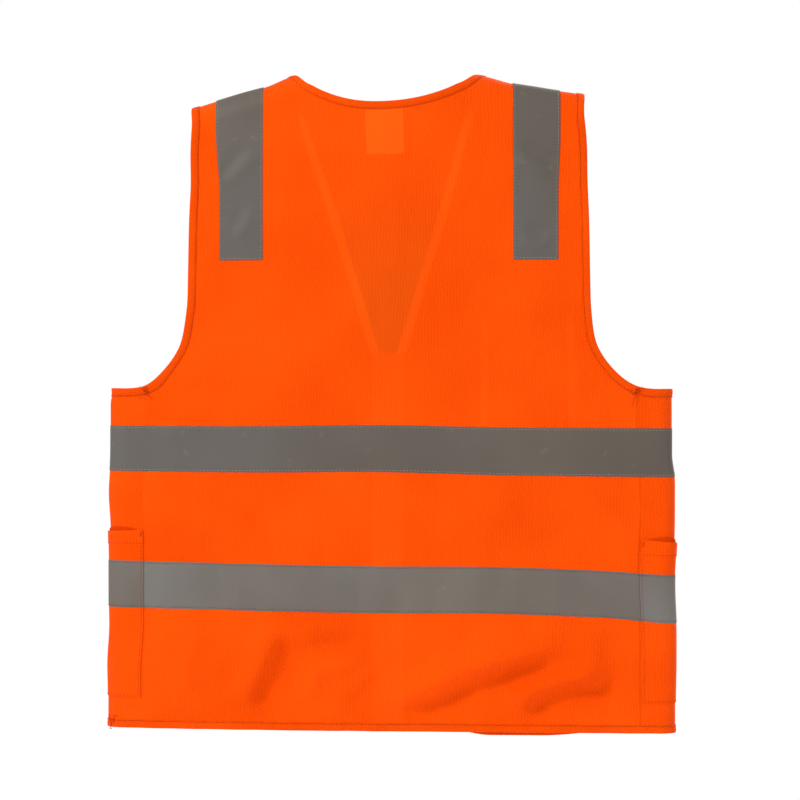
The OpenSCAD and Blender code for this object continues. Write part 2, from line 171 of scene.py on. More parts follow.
# Ridges and folds of the back: kind, points in x and z, half width, height
BACK_WRINKLES = [
    ("ridge", [(0.219, -0.504), (0.16, -0.463), (0.094, -0.432)], 0.016, 0.0022),
    ("fold", [(-0.198, -0.432), (-0.235, -0.459), (-0.262, -0.489)], 0.010, 0.0016),
    ("fold", [(-0.1915, -0.6035), (-0.166, -0.617), (-0.0845, -0.643), (0.002, -0.682)], 0.0125, 0.0036),
    ("ridge", [(-0.19, -0.595), (-0.212, -0.613), (-0.19, -0.65)], 0.011, 0.0026),
    ("ridge", [(-0.06, -0.625), (-0.09, -0.615), (-0.15, -0.585)], 0.012, 0.0018),
    ("fold", [(-0.245, -0.639), (-0.170, -0.654), (-0.134, -0.686)], 0.011, 0.0027),
    ("fold", [(0.108, -0.590), (0.13, -0.637), (0.151, -0.682)], 0.0125, 0.0027),
    ("fold", [(0.094, -0.671), (0.080, -0.625), (0.016, -0.614)], 0.0115, 0.0025),
    ("ridge", [(-0.005, -0.611), (0.027, -0.643), (0.059, -0.675)], 0.009, 0.0018),
    ("ridge", [(0.204, -0.315), (0.151, -0.291), (0.017, -0.288)], 0.006, 0.0007),
    ("ridge", [(0.04, -0.47), (-0.03, -0.492), (-0.13, -0.488)], 0.013, 0.0011),
    ("ridge", [(0.25, -0.40), (0.21, -0.36), (0.17, -0.345)], 0.012, 0.0011),
    ("ridge", [(-0.25, -0.40), (-0.2, -0.355), (-0.15, -0.34)], 0.012, 0.0011),
    ("ridge", [(0.20, -0.60), (0.22, -0.65), (0.215, -0.69)], 0.012, 0.0016),
    ("ridge", [(0.235, -0.66), (0.20, -0.64), (0.13, -0.60)], 0.014, 0.0015),
    ("fold", [(0.25, -0.44), (0.20, -0.47), (0.10, -0.50)], 0.013, 0.0014),
    ("ridge", [(-0.04, -0.585), (-0.06, -0.6), (-0.11, -0.605)], 0.008, 0.001),
    ("fold", [(0.182, -0.112), (0.163, -0.095), (0.143, -0.073)], 0.0075, 0.0007),
    ("fold", [(0.172, -0.172), (0.158, -0.160), (0.146, -0.136)], 0.008, 0.0006),
    ("fold", [(-0.142, -0.168), (-0.160, -0.176), (-0.176, -0.172)], 0.007, 0.0011),
    ("ridge", [(0.176, -0.15), (0.165, -0.165), (0.150, -0.172)], 0.008, 0.0009),
    ("fold", [(-0.138, -0.082), (-0.155, -0.092), (-0.178, -0.106)], 0.007, 0.0014),
    ("ridge", [(-0.140, -0.130), (-0.16, -0.126), (-0.18, -0.14)], 0.009, 0.0009),
]
FRONT_WRINKLES = [
    ("ridge", [(0.20, -0.42), (0.15, -0.47), (0.09, -0.51)], 0.016, 0.0022),
    ("ridge", [(-0.21, -0.43), (-0.17, -0.48), (-0.1, -0.5)], 0.016, 0.0024),
    ("fold", [(0.18, -0.60), (0.14, -0.64), (0.12, -0.69)], 0.009, 0.0028),
    ("fold", [(-0.17, -0.60), (-0.13, -0.65), (-0.12, -0.69)], 0.009, 0.0028),
    ("ridge", [(0.17, -0.10), (0.14, -0.17), (0.10, -0.24)], 0.014, 0.0016),
    ("ridge", [(-0.16, -0.09), (-0.15, -0.16), (-0.12, -0.23)], 0.014, 0.0014),
    ("fold", [(0.26, -0.35), (0.22, -0.33), (0.17, -0.32)], 0.010, 0.0018),
    ("ridge", [(-0.26, -0.36), (-0.22, -0.35), (-0.18, -0.36)], 0.010, 0.0018),
]
BACK_WRINKLES, FRONT_WRINKLES = ([(kind, curve(points, 12), wide, high) for kind, points, wide, high in given]
                                 for given in (BACK_WRINKLES, FRONT_WRINKLES))


def wrinkles(x, z, given):
    """Deeper towards the hem, where the cloth hangs free."""
    y = np.zeros(x.shape)
    for kind, points, wide, high in given:
        d, share = from_line(x, z, points)
        ends = smooth(0, 0.25, share) * smooth(1, 0.75, share)
        if kind == "ridge":
            y += high * ends * np.exp(-(d / wide) ** 2)
        else:
            y += high * ends * d / wide * np.exp(0.5 - 0.5 * (d / wide) ** 2) * 1.4
    return y * (1 + 0.85 * smooth(-0.52, -0.62, z))


def waves(x, z, seed, count, long, high):
    """Slow random swells."""
    rng = np.random.default_rng(seed)
    y = np.zeros(x.shape)
    for _ in range(count):
        a, k = rng.uniform(0, math.pi), 2 * math.pi / (long * rng.uniform(0.7, 1.5))
        phase = rng.uniform(0, 6.28)
        y += np.sin(k * (x * math.cos(a) + z * math.sin(a) * 0.6) + phase)
    return y * high / count ** 0.5


def puckers(x, z, edge, seed):
    """Small gathers that die away from a stitched edge."""
    away = np.abs(z - edge)
    phase = 2.2 * np.sin(x * 37 + seed) + 1.7 * np.sin(x * 83 + 2 * seed)
    return np.sin(2 * math.pi * x / 0.021 + phase) * np.exp(-away / 0.007) * smooth(0, 0.002, away)


def back_relief(x, z):
    y = wrinkles(x, z, BACK_WRINKLES)
    low = smooth(-0.36, -0.62, z)
    y += waves(x, z, 3, 9, 0.13, 0.0007 + 0.0011 * low)
    y += waves(x, z, 8, 9, 0.045, 0.0002 + 0.0007 * low)
    y += 0.004 * np.exp(-((z + 0.17) / 0.16) ** 2) * np.exp(-(x / 0.2) ** 2)
    for i, edge in enumerate((*UPPER, *LOWER, HEM + BIND)):
        y += 0.00032 * puckers(x, z, edge, i)
    for at, high in ((0.158, 0.0005), (0.0385, 0.0007), (-0.179, 0.0006)):
        y += high * np.exp(-((x - at) / 0.003) ** 2) * np.exp(-((z - sum(LOWER) / 2) / 0.035) ** 2)
    return y


def front_relief(x, z):
    y = wrinkles(x, z, FRONT_WRINKLES)
    low = smooth(-0.3, -0.62, z)
    y += waves(x, z, 21, 9, 0.12, 0.0008 + 0.0011 * low)
    y += 0.006 * smooth(0.02, 0.12, np.abs(x)) * np.exp(-((z + 0.22) / 0.15) ** 2) * smooth(0.27, 0.17, np.abs(x))
    for i, edge in enumerate((*UPPER, *LOWER, HEM + BIND)):
        y += 0.00032 * puckers(x, z, edge, i + 9)
    return y * smooth(0.018, 0.06, np.abs(x))


def place(p, q, h, side=1):
    """Where a point of the unrolled cloth lies. p runs across and q up, both as x and z on the
    flat of the back (side 1) or front (side -1); past a side bend or a shoulder the cloth goes
    on round to the other side. h is the height above the cloth's middle."""
    p, q, h, side = np.broadcast_arrays(*(np.asarray(v, float) for v in (p, q, h, side)))
    hand, flat = np.where(p < 0, -1.0, 1.0), np.abs(p)
    turn = np.clip((flat - BEND) / R, 0, math.pi)
    x = np.where(flat <= BEND, flat, np.where(turn < math.pi, BEND, BEND - (flat - BEND - TURN)))
    y, nx, ny = R * np.cos(turn), np.sin(turn), np.cos(turn)
    now = np.where(turn >= math.pi, -side, side)
    x = x + R * np.sin(turn)
    ax, az = AXIS
    c, s = math.cos(SLOPE), math.sin(SLOPE)
    along = (x - ax) * c - (q - az) * s
    below = -(x - ax) * s - (q - az) * c
    over = (below < 0) & (q > -0.2) & ((turn == 0) | (turn == math.pi))
    lift = np.where(over, np.clip(-below / R, 0, math.pi), 0)
    fall = np.where(over, np.where(lift < math.pi, -R * np.sin(lift), -below - TURN), below)
    x = ax + along * c - fall * s
    z = az - along * s - fall * c
    y = np.where(over, now * R * np.cos(lift), side * y)
    nx = np.where(over, np.sin(lift) * s, nx)
    nz = np.where(over, np.sin(lift) * c, 0)
    ny = np.where(over, now * np.cos(lift), side * ny)
    x, nx = x * hand, nx * hand
    return settle(x, y, z, nx, ny, nz, h)


def near(value, at, wide):
    return np.exp(-((value - at) / wide) ** 2)


def settle(x, y, z, nx, ny, nz, h):
    """The clean shell turned into hanging cloth."""
    front = smooth(R * 0.9, -R * 0.9, y)
    pinch = 1 - 0.34 * smooth(0.15, 0.285, np.abs(x)) * smooth(-0.2, -0.33, z)
    pinch = pinch - 0.12 * smooth(-0.09, -0.02, z) * smooth(0.06, 0.1, np.abs(x))
    relief = back_relief(x, z) * (1 - front) + front_relief(x, z) * front
    edge = 1 - 0.75 * smooth(0.272, 0.297, np.abs(x))
    rise = h + relief * edge
    low = smooth(-0.30, -0.55, z)
    top, far = smooth(-0.13, -0.04, z), smooth(0.10, 0.135, np.abs(x))
    tilt = (0.007 * (1 - 0.5 * smooth(-0.60, -0.68, z)) * low * x / 0.3
            - 0.0045 * smooth(-0.22, -0.3, x) * near(z, -0.56, 0.05)
            + 0.0032 * near(x, -0.12, 0.10) * near(z, -0.56, 0.07)
            + 0.0028 * near(x, 0.01, 0.09) * near(z, -0.40, 0.05)
            - 0.0036 * top * far - 0.0026 * top * near(x, 0.045, 0.045)
            - 0.0015 * smooth(-0.33, -0.37, z) * smooth(-0.48, -0.42, z)
            - 0.0075 * np.clip((np.abs(x) - NECK) / (SHOULDER - NECK), 0, 1) * np.sign(x) * smooth(-0.24, -0.03, z))
    tilt = tilt - 0.0078 * front * smooth(-0.04, -0.075, x) * smooth(-0.25, -0.16, x) * smooth(-0.57, -0.69, z)
    sideways = (-0.0035 * smooth(-0.26, -0.36, z) * smooth(0.12, 0.29, np.abs(x))
                + 0.004 * smooth(-0.16, -0.03, z) * smooth(0.13, 0.07, np.abs(x)))
    out = smooth(0.14, 0.20, np.abs(x)) * np.where(
        x > 0,
        -0.0052 * smooth(-0.045, -0.125, z) * smooth(-0.31, -0.235, z) + 0.0026 * near(z, -0.318, 0.016)
        - 0.003 * near(z, -0.337, 0.008) + 0.0022 * near(z, -0.45, 0.028) + 0.0026 * smooth(-0.59, -0.64, z),
        -0.0028 * smooth(-0.06, -0.13, z) * smooth(-0.31, -0.235, z) + 0.0018 * near(z, -0.318, 0.016)
        + 0.0036 * smooth(-0.40, -0.43, z) - 0.0026 * near(z, -0.53, 0.035))
    sideways = sideways + np.sign(x) * out
    held = 1 - front * smooth(0.11, 0.05, np.abs(x))
    held = np.where(z > -0.25, 1, held)
    return np.stack([x + nx * rise + sideways * held,
                     y * pinch + ny * rise,
                     z + nz * rise + tilt * held], -1)


# ---------------------------------------------------------------- meshes

def mesh_object(name, points, faces, uv, material):
    mesh = bpy.data.meshes.new(name)
    points = np.asarray(points, np.float32).reshape(-1, 3)
    total = np.array([len(f) for f in faces], np.int32)
    mesh.vertices.add(len(points))
    mesh.vertices.foreach_set("co", points.ravel())
    mesh.loops.add(int(total.sum()))
    mesh.loops.foreach_set("vertex_index", np.concatenate([np.asarray(f, np.int32) for f in faces]))
    mesh.polygons.add(len(total))
    mesh.polygons.foreach_set("loop_start", np.concatenate([[0], np.cumsum(total)[:-1]]).astype(np.int32))
    mesh.update(calc_edges=True)
    layer = mesh.uv_layers.new(name="cloth")
    index = np.zeros(len(mesh.loops), np.int32)
    mesh.loops.foreach_get("vertex_index", index)
    layer.data.foreach_set("uv", np.asarray(uv, np.float32).reshape(-1, 2)[index].ravel())
    made = bmesh.new()
    made.from_mesh(mesh)
    bmesh.ops.recalc_face_normals(made, faces=made.faces)
    made.to_mesh(mesh)
    made.free()
    mesh.shade_smooth()
    mesh.set_sharp_from_angle(angle=math.radians(80))
    mesh.materials.append(material)
    thing = bpy.data.objects.new(name + "_made" if name in bpy.data.objects else name, mesh)
    bpy.context.scene.collection.objects.link(thing)
    return thing


def ring_faces(rings, k, base=0, closed=False):
    """The sides of a tube made of rings of k points each."""
    return [[base + i * k + j, base + i * k + (j + 1) % k,
             base + (i + 1) % rings * k + (j + 1) % k, base + (i + 1) % rings * k + j]
            for i in range(rings if closed else rings - 1) for j in range(k)]


def end_faces(rings, k, base=0):
    return [[base + j for j in range(k)], [base + rings * k - 1 - j for j in range(k)]]


def inside(points, outline):
    x, y = points[:, 0][:, None], points[:, 1][:, None]
    a, b = outline, np.roll(outline, -1, 0)
    cross = (a[:, 1] > y) != (b[:, 1] > y)
    with np.errstate(divide="ignore", invalid="ignore"):
        at = (b[:, 0] - a[:, 0]) * (y - a[:, 1]) / (b[:, 1] - a[:, 1]) + a[:, 0]
    return (np.sum(cross & (x < at), 1) % 2).astype(bool)


def distance_to(points, outline):
    a, b = outline, np.roll(outline, -1, 0)
    best = np.full(len(points), 1e9)
    for i in range(len(a)):
        d = b[i] - a[i]
        t = np.clip(((points - a[i]) @ d) / max(d @ d, 1e-18), 0, 1)
        best = np.minimum(best, np.linalg.norm(points - a[i] - t[:, None] * d, axis=1))
    return best


def sided(path):
    """Unit vectors to the right of a path."""
    d = np.gradient(path, axis=0)
    d /= np.maximum(np.linalg.norm(d, axis=1)[:, None], 1e-12)
    return np.stack([d[:, 1], -d[:, 0]], 1)


def cut_cloth(name, edges, side, material, thick=0.0006, spacing=0.004):
    """A panel with real thickness, cut to a closed outline of the unrolled cloth."""
    outline = []
    for edge in edges:
        edge = np.array(edge, float)
        count = max(2, round(lengths(edge)[-1] / spacing) + 1)
        outline.append(even(edge, count)[:-1])
    outline = np.vstack(outline)
    area = np.sum(outline[:, 0] * np.roll(outline[:, 1], -1) - np.roll(outline[:, 0], -1) * outline[:, 1])
    if area < 0:
        outline = outline[::-1]
    ring = outline - 0.0015 * sided(np.vstack([outline[-1:], outline, outline[:1]]))[1:-1]
    low, high = outline.min(0), outline.max(0)
    gx = np.arange(low[0] + spacing / 2, high[0], spacing)
    gy = np.arange(low[1] + spacing / 2, high[1], spacing)
    grid = np.stack(np.meshgrid(gx, gy), -1).reshape(-1, 2)
    grid = grid[inside(grid, outline)]
    grid = grid[distance_to(grid, outline) > 0.0015 + spacing * 0.45]
    ring = ring[inside(ring, outline)]
    ring = ring[distance_to(ring, outline) > 0.0012]
    points = np.vstack([outline, ring, grid])
    n = len(outline)
    made = delaunay_2d_cdt([Vector(v) for v in points], [(i, (i + 1) % n) for i in range(n)], [], 1, 1e-7)
    flat = np.array([v[:] for v in made[0]])
    flat_mesh = bmesh.new()
    corners = [flat_mesh.verts.new((*v, 0)) for v in flat]
    for f in made[2]:
        flat_mesh.faces.new([corners[i] for i in f])
    bmesh.ops.join_triangles(flat_mesh, faces=flat_mesh.faces, angle_face_threshold=0.1,
                             angle_shape_threshold=0.9)
    flat_mesh.verts.index_update()
    faces = [[v.index for v in f.verts] for f in flat_mesh.faces]
    rim = [[v.index for v in e.verts] for e in flat_mesh.edges if e.is_boundary]
    flat_mesh.free()
    drop = seam_groove(flat[:, 0], flat[:, 1])
    m = len(flat)
    outer = place(flat[:, 0], flat[:, 1], drop + thick / 2, side)
    inner = place(flat[:, 0], flat[:, 1], drop - thick / 2, side)
    faces += [[i + m for i in reversed(f)] for f in faces]
    faces += [[a, b, b + m, a + m] for a, b in rim]
    return mesh_object(name, np.vstack([outer, inner]), faces, np.vstack([flat, flat]), material)


def strip(name, path, section, side, material, closed=False, lift=None):
    """A strip along a path of the unrolled cloth. section holds pairs of outer and inner points,
    each an offset to the path's right and a height."""
    path = np.array(path, float)
    n = sided(np.vstack([path[-2:-1], path, path[1:2]]))[1:-1] if closed else sided(path)
    loop = np.array([o for o, _ in section] + [i for _, i in reversed(section)])
    k, m = len(loop), len(path)
    p = path[:, None, 0] + n[:, None, 0] * loop[None, :, 0]
    q = path[:, None, 1] + n[:, None, 1] * loop[None, :, 0]
    h = np.broadcast_to(loop[None, :, 1], p.shape)
    if lift is not None:
        h = h + lift(p, q)
    points = place(p, q, h, side)
    faces = ring_faces(m, k, closed=closed)
    if not closed:
        half = k // 2
        for row in (0, m - 1):
            faces += [[row * k + j, row * k + j + 1, row * k + k - 2 - j, row * k + k - 1 - j]
                      for j in range(half - 1)]
    s = lengths(path)
    uv = np.stack([np.broadcast_to(s[:, None], p.shape), np.broadcast_to(loop[None, :, 0], p.shape)], -1)
    return mesh_object(name, points, faces, uv, material)


def flat_section(width, low, high, columns):
    d = np.linspace(0, width, columns)
    ease = np.minimum(1, np.minimum(d, width - d) / 0.0006) * 0.35 + 0.65
    return [((a, low + (high - low) * e), (a, low)) for a, e in zip(d, ease)]


def binding_section(width=BIND):
    """A strip folded over an edge, crowned by the cloth inside and pressed in by its stitching."""
    top = []
    for d in (width, width - 0.0004, width - 0.0012, width - 0.0018, width - 0.0026,
              width * 0.55, width * 0.32, width * 0.15, 0.0004):
        dip = math.exp(-((d - width + 0.0018) / 0.0007) ** 2)
        crown = math.sin(math.pi * min(1, d / (width * 0.75)))
        top.append((d, 0.00095 + 0.0003 * crown - 0.0002 * dip - (0.0003 if d == width else 0)))
    turn = [(-0.0003, 0.0008), (-0.0007, 0.0003), (-0.0007, -0.0003), (-0.0003, -0.0008)]
    outer = top + turn + [(d, -h) for d, h in reversed(top)]
    pairs = []
    for d, h in outer:
        inner = 0.42 if abs(h) > 0.0005 or d > 0 else 0.3
        pairs.append(((d, h), (max(d, -0.0001) + (0.0003 if d < 0 else 0), h * inner)))
    return pairs


def thread(name, lines, material, long=0.0024, gap=0.0014, radius=0.00024):
    """Rows of stitches: lines are (path, height, side) on the unrolled cloth, with a height that
    is a number or depends on p and q."""
    rings = np.array([0.0, 0.16, 0.5, 0.84, 1.0])
    fat = np.array([0.4, 0.9, 1.0, 0.9, 0.4])
    dip = np.array([-1.0, -0.2, 0.35, -0.2, -1.0])
    sides = 5
    turn = np.arange(sides) / sides * 2 * math.pi
    points, faces, uv, base = [], [], [], 0
    for path, height, side in lines:
        path = np.array(path, float)
        if len(path) < 3:
            path = even(path, max(3, int(lengths(path)[-1] / 0.01)))
        s = lengths(path)
        count = max(1, int((s[-1] + gap) / (long + gap)))
        start = (s[-1] - count * (long + gap) + gap) / 2
        at = start + np.arange(count)[:, None] * (long + gap) + rings[None, :] * long
        px, py = np.interp(at, s, path[:, 0]), np.interp(at, s, path[:, 1])
        normal = sided(path)
        nx, ny = np.interp(at, s, normal[:, 0]), np.interp(at, s, normal[:, 1])
        level = height(px, py)[..., None] if callable(height) else height
        facing = np.sign(level + 1e-9)
        wide = radius * fat[None, :, None] * np.cos(turn)[None, None, :]
        high = level + facing * radius * (dip[None, :, None] + fat[None, :, None] * np.sin(turn)[None, None, :])
        v = place(px[..., None] + nx[..., None] * wide, py[..., None] + ny[..., None] * wide, high, side)
        k = len(rings) * sides
        shift = (base + np.arange(count) * k)[:, None, None]
        faces += list((np.array(ring_faces(len(rings), sides)) + shift).reshape(-1, 4))
        faces += list((np.array(end_faces(len(rings), sides)) + shift).reshape(-1, sides))
        base += count * k
        points.append(v.reshape(-1, 3))
        uv.append(np.stack([np.broadcast_to(at[..., None], v.shape[:3]),
                            np.broadcast_to(turn, v.shape[:3])], -1).reshape(-1, 2))
    return mesh_object(name, np.vstack(points), faces, np.vstack(uv), material)


def grid_sheet(name, p, q, side, height, thick, material):
    """A rectangular sheet from rows and columns of points on the unrolled cloth."""
    rows, columns = p.shape
    outer = place(p, q, height + thick / 2, side).reshape(-1, 3)
    inner = place(p, q, height - thick / 2, side).reshape(-1, 3)
    m = rows * columns
    faces = []
    for i in range(rows - 1):
        for j in range(columns - 1):
            a = i * columns + j
            f = [a, a + 1, a + columns + 1, a + columns]
            faces += [f, [v + m for v in reversed(f)]]
    rim = ([j for j in range(columns)] + [i * columns + columns - 1 for i in range(1, rows)]
           + [m - 1 - j for j in range(1, columns)] + [i * columns for i in range(rows - 2, 0, -1)])
    faces += [[a, b, b + m, a + m] for a, b in zip(rim, rim[1:] + rim[:1])]
    s = np.stack([p, q], -1).reshape(-1, 2)
    return mesh_object(name, np.vstack([outer, inner]), faces, np.vstack([s, s]), material)


# ---------------------------------------------------------------- materials

def material(name, colour, roughness, build=None, **more):
    made = bpy.data.materials.new(name)
    made.use_nodes = True
    shader = made.node_tree.nodes["Principled BSDF"]
    shader.inputs["Base Color"].default_value = (*colour, 1)
    shader.inputs["Roughness"].default_value = roughness
    for key, value in more.items():
        shader.inputs[key.replace("_", " ")].default_value = value
    if build:
        build(Nodes(made.node_tree), shader)
    return made


class Nodes:
    """Short names for the shader nodes that the fabrics use."""

    def __init__(self, tree):
        self.tree = tree

    def add(self, kind, inputs=(), **settings):
        node = self.tree.nodes.new(kind)
        for key, value in settings.items():
            setattr(node, key, value)
        for key, value in dict(inputs).items():
            self.put(node.inputs[key], value)
        return node

    def put(self, socket, value):
        if isinstance(value, bpy.types.NodeSocket):
            self.tree.links.new(value, socket)
        else:
            socket.default_value = value

    def math(self, operation, *values):
        node = self.add("ShaderNodeMath", operation=operation)
        for socket, value in zip(node.inputs, values):
            self.put(socket, value)
        return node.outputs[0]

    def times(self, *values):
        return self.math("MULTIPLY", *values)

    def plus(self, *values):
        return self.math("ADD", *values)

    def cloth(self):
        """The unrolled cloth's own coordinates, in metres."""
        return self.add("ShaderNodeUVMap", uv_map="cloth").outputs["UV"]

    def split(self, vector):
        return self.add("ShaderNodeSeparateXYZ", {"Vector": vector}).outputs

    def noise(self, vector, scale, detail=3.0, roughness=0.5):
        return self.add("ShaderNodeTexNoise", {"Vector": vector, "Scale": scale, "Detail": detail,
                                               "Roughness": roughness}).outputs["Fac"]

    def mix(self, share, a, b):
        node = self.add("ShaderNodeMix", data_type="RGBA")
        self.put(node.inputs["Factor"], share)
        self.put(node.inputs[6], a)
        self.put(node.inputs[7], b)
        return node.outputs[2]

    def step(self, value, low, high):
        node = self.add("ShaderNodeMapRange", interpolation_type="SMOOTHSTEP")
        for key, v in (("Value", value), ("From Min", low), ("From Max", high)):
            self.put(node.inputs[key], v)
        return node.outputs["Result"]

    def wave(self, value, pitch):
        return self.math("SINE", self.times(value, 2 * math.pi / pitch))

    def bump(self, height, distance, strength=1.0):
        return self.add("ShaderNodeBump", {"Height": height, "Distance": distance,
                                           "Strength": strength}).outputs["Normal"]


def knit(n, shader, base, light, dark, extra=None, wale=0.0011):
    """Warp knit: fine upright ribs of small loops, with faint mottling."""
    uv = n.cloth()
    x, y, _ = n.split(uv)
    ribs = n.wave(x, wale)
    loops = n.wave(n.plus(y, n.times(ribs, 0.00012)), 0.0008)
    height = n.plus(ribs, n.times(loops, 0.5))
    course = n.wave(n.plus(x, n.times(n.noise(uv, 14, 2), 0.012)), wale * 3)
    lean = n.wave(n.plus(y, n.times(x, 0.6)), wale * 4)
    slow, fine = n.noise(uv, 9, 2), n.noise(uv, 420, 4, 0.65)
    tone = n.plus(n.times(slow, 0.55), n.times(fine, 0.45))
    tone = n.plus(tone, n.times(n.plus(height, n.plus(course, lean)), 0.037))
    colour = n.mix(n.step(tone, 0.32, 0.68), (*dark, 1), (*light, 1))
    colour = n.mix(0.3, colour, (*base, 1))
    if extra:
        colour = extra(n, x, y, colour)
    n.put(shader.inputs["Base Color"], colour)
    n.put(shader.inputs["Roughness"], n.plus(0.72, n.times(fine, 0.2)))
    relief = n.plus(n.plus(height, course), n.times(fine, 1.5))
    n.put(shader.inputs["Normal"], n.bump(relief, 0.00014, 0.8))


ORANGE = (0.60, 0.0470, 0.0008)
ORANGE_LIGHT = (0.68, 0.0590, 0.0016)
ORANGE_DARK = (0.52, 0.0375, 0.0005)


def painted_see_through_shading(n, x, y, colour):
    """Painted light and shade on the thin knit of the back: painted lighter bands over the label, the V edges, the zip
    and the chest pocket's sides that lie close behind it, and painted shade inside the V, where no layer lies behind."""
    ax = n.math("ABSOLUTE", x)
    (kx, kz), (fx, fz) = (0.088, -0.036), V_FOOT
    length = math.hypot(fx - kx, fz - kz)
    out = n.plus(n.times(n.math("SUBTRACT", ax, kx), (kz - fz) / length),
                 n.times(n.math("SUBTRACT", y, kz), (fx - kx) / length))
    reach = n.times(n.step(y, V_FOOT[1] - 0.004, V_FOOT[1] + 0.004), n.step(y, -0.030, -0.06))
    gap = n.times(n.step(out, 0.002, -0.002), reach)
    edge = n.times(n.times(n.step(out, -0.002, 0.001), n.step(out, BIND + 0.002, BIND - 0.001)), reach)
    teeth = n.times(n.step(ax, 0.018, 0.015), n.step(y, V_FOOT[1] + 0.002, V_FOOT[1] - 0.004))
    left = n.math("ABSOLUTE", n.math("SUBTRACT", n.times(x, -1), -CHEST[1].x + 0.004))
    right = n.math("ABSOLUTE", n.math("SUBTRACT", n.times(x, -1), -CHEST[0].x - 0.004))
    side = n.step(n.math("MINIMUM", left, right), 0.005, 0.003)
    pocket = n.times(side, n.times(n.step(y, CHEST[1].z + 0.003, CHEST[1].z - 0.01),
                                   n.step(y, CHEST[0].z - 0.001, CHEST[0].z)))
    low = LABEL[0].z
    label = n.times(n.step(ax, 0.0205, 0.0195),
                    n.times(n.step(y, low - 0.0005, low + 0.0005), n.step(y, -0.03, -0.031)))
    # painted light: the tint of the bands over what lies behind
    painted_light = (0.74, 0.105, 0.006, 1)
    # painted shade inside the V, fading in below the neck, then the painted light bands
    colour = n.mix(n.times(gap, n.step(y, -0.08, -0.25)), colour, (0.50, 0.050, 0.0018, 1))
    colour = n.mix(n.times(edge, 0.16), colour, painted_light)
    colour = n.mix(n.times(teeth, 0.07), colour, painted_light)
    colour = n.mix(n.times(pocket, 0.07), colour, painted_light)
    return n.mix(n.times(label, 0.33), colour, painted_light)


def reflective(n, shader, dark, light, cool):
    """Glass-bead tape: a fine woven grain, slow tonal drift and small scuffs."""
    uv = n.cloth()
    x, y, _ = n.split(uv)
    weave = n.times(n.wave(n.plus(x, y), 0.0009), n.wave(n.math("SUBTRACT", x, y), 0.0009))
    slow, fine, scuff = n.noise(uv, 7, 2), n.noise(uv, 900, 3, 0.7), n.noise(uv, 60, 5, 0.7)
    tone = n.plus(n.times(slow, 0.5), n.times(fine, 0.5))
    colour = n.mix(n.step(tone, 0.3, 0.7), (*dark, 1), (*light, 1))
    colour = n.mix(n.times(n.step(n.noise(uv, 2.6, 1), 0.42, 0.62), 0.8), colour, (*cool, 1))
    colour = n.mix(n.times(n.step(scuff, 0.60, 0.72), 0.3), colour, (0.135, 0.12, 0.105, 1))
    n.put(shader.inputs["Base Color"], colour)
    n.put(shader.inputs["Roughness"], n.plus(0.5, n.times(fine, 0.2)))
    n.put(shader.inputs["Normal"], n.bump(n.plus(n.times(weave, 0.5), fine), 0.00006, 0.5))


def spun(n, shader, light, dark):
    """Twisted thread."""
    x, y, _ = n.split(n.cloth())
    twist = n.math("SINE", n.plus(n.times(x, 2 * math.pi / 0.0007), n.times(y, 2)))
    n.put(shader.inputs["Base Color"], n.mix(n.step(twist, -1, 1), (*dark, 1), (*light, 1)))
    n.put(shader.inputs["Normal"], n.bump(twist, 0.00005, 0.6))


def woven(n, shader, light, dark, pitch):
    uv = n.cloth()
    x, y, _ = n.split(uv)
    herring = n.plus(y, n.math("ABSOLUTE", n.times(n.wave(x, pitch * 6), pitch)))
    grain = n.times(n.wave(herring, pitch), n.wave(x, pitch))
    tone = n.plus(n.times(grain, 0.3), n.times(n.noise(uv, 200, 3), 0.8))
    n.put(shader.inputs["Base Color"], n.mix(n.step(tone, 0.2, 0.8), (*dark, 1), (*light, 1)))
    n.put(shader.inputs["Normal"], n.bump(grain, 0.0001, 0.7))


def cast(n, shader):
    """Plated metal with fine scratches."""
    where = n.add("ShaderNodeTexCoord").outputs["Object"]
    scratch = n.noise(where, 900, 6, 0.7)
    colour = n.mix(n.step(scratch, 0.35, 0.7), (0.30, 0.30, 0.31, 1), (0.52, 0.52, 0.53, 1))
    n.put(shader.inputs["Base Color"], colour)
    n.put(shader.inputs["Roughness"], n.plus(0.16, n.times(scratch, 0.25)))
    n.put(shader.inputs["Normal"], n.bump(scratch, 0.00003, 0.4))


def film(n, shader):
    ripple = n.noise(n.cloth(), 40, 3)
    n.put(shader.inputs["Normal"], n.bump(ripple, 0.0006, 0.4))
    n.put(shader.inputs["Roughness"], n.plus(0.06, n.times(ripple, 0.1)))


CLOTH = dict(Sheen_Weight=0.12, Sheen_Roughness=0.4, Sheen_Tint=(0.9, 0.12, 0.004, 1),
             Specular_IOR_Level=0.12, Specular_Tint=(1, 0.25, 0.02, 1))


def knitted(name, *tones, **more):
    return material(name, ORANGE, 0.8, lambda n, s: knit(n, s, *tones, **more), **CLOTH)


def tape(name, *tones, shine):
    return material(name, (0.13, 0.11, 0.09), 0.5, lambda n, s: reflective(n, s, *tones),
                    Metallic=0.1, Specular_IOR_Level=shine)


def yarn(name, colour, *tones, shine=0.1):
    return material(name, colour, 0.6, lambda n, s: spun(n, s, *tones), Specular_IOR_Level=shine)


def moulded(n, shader):
    where = n.add("ShaderNodeTexCoord").outputs["Object"]
    n.put(shader.inputs["Roughness"], n.plus(0.3, n.times(n.noise(where, 300), 0.25)))
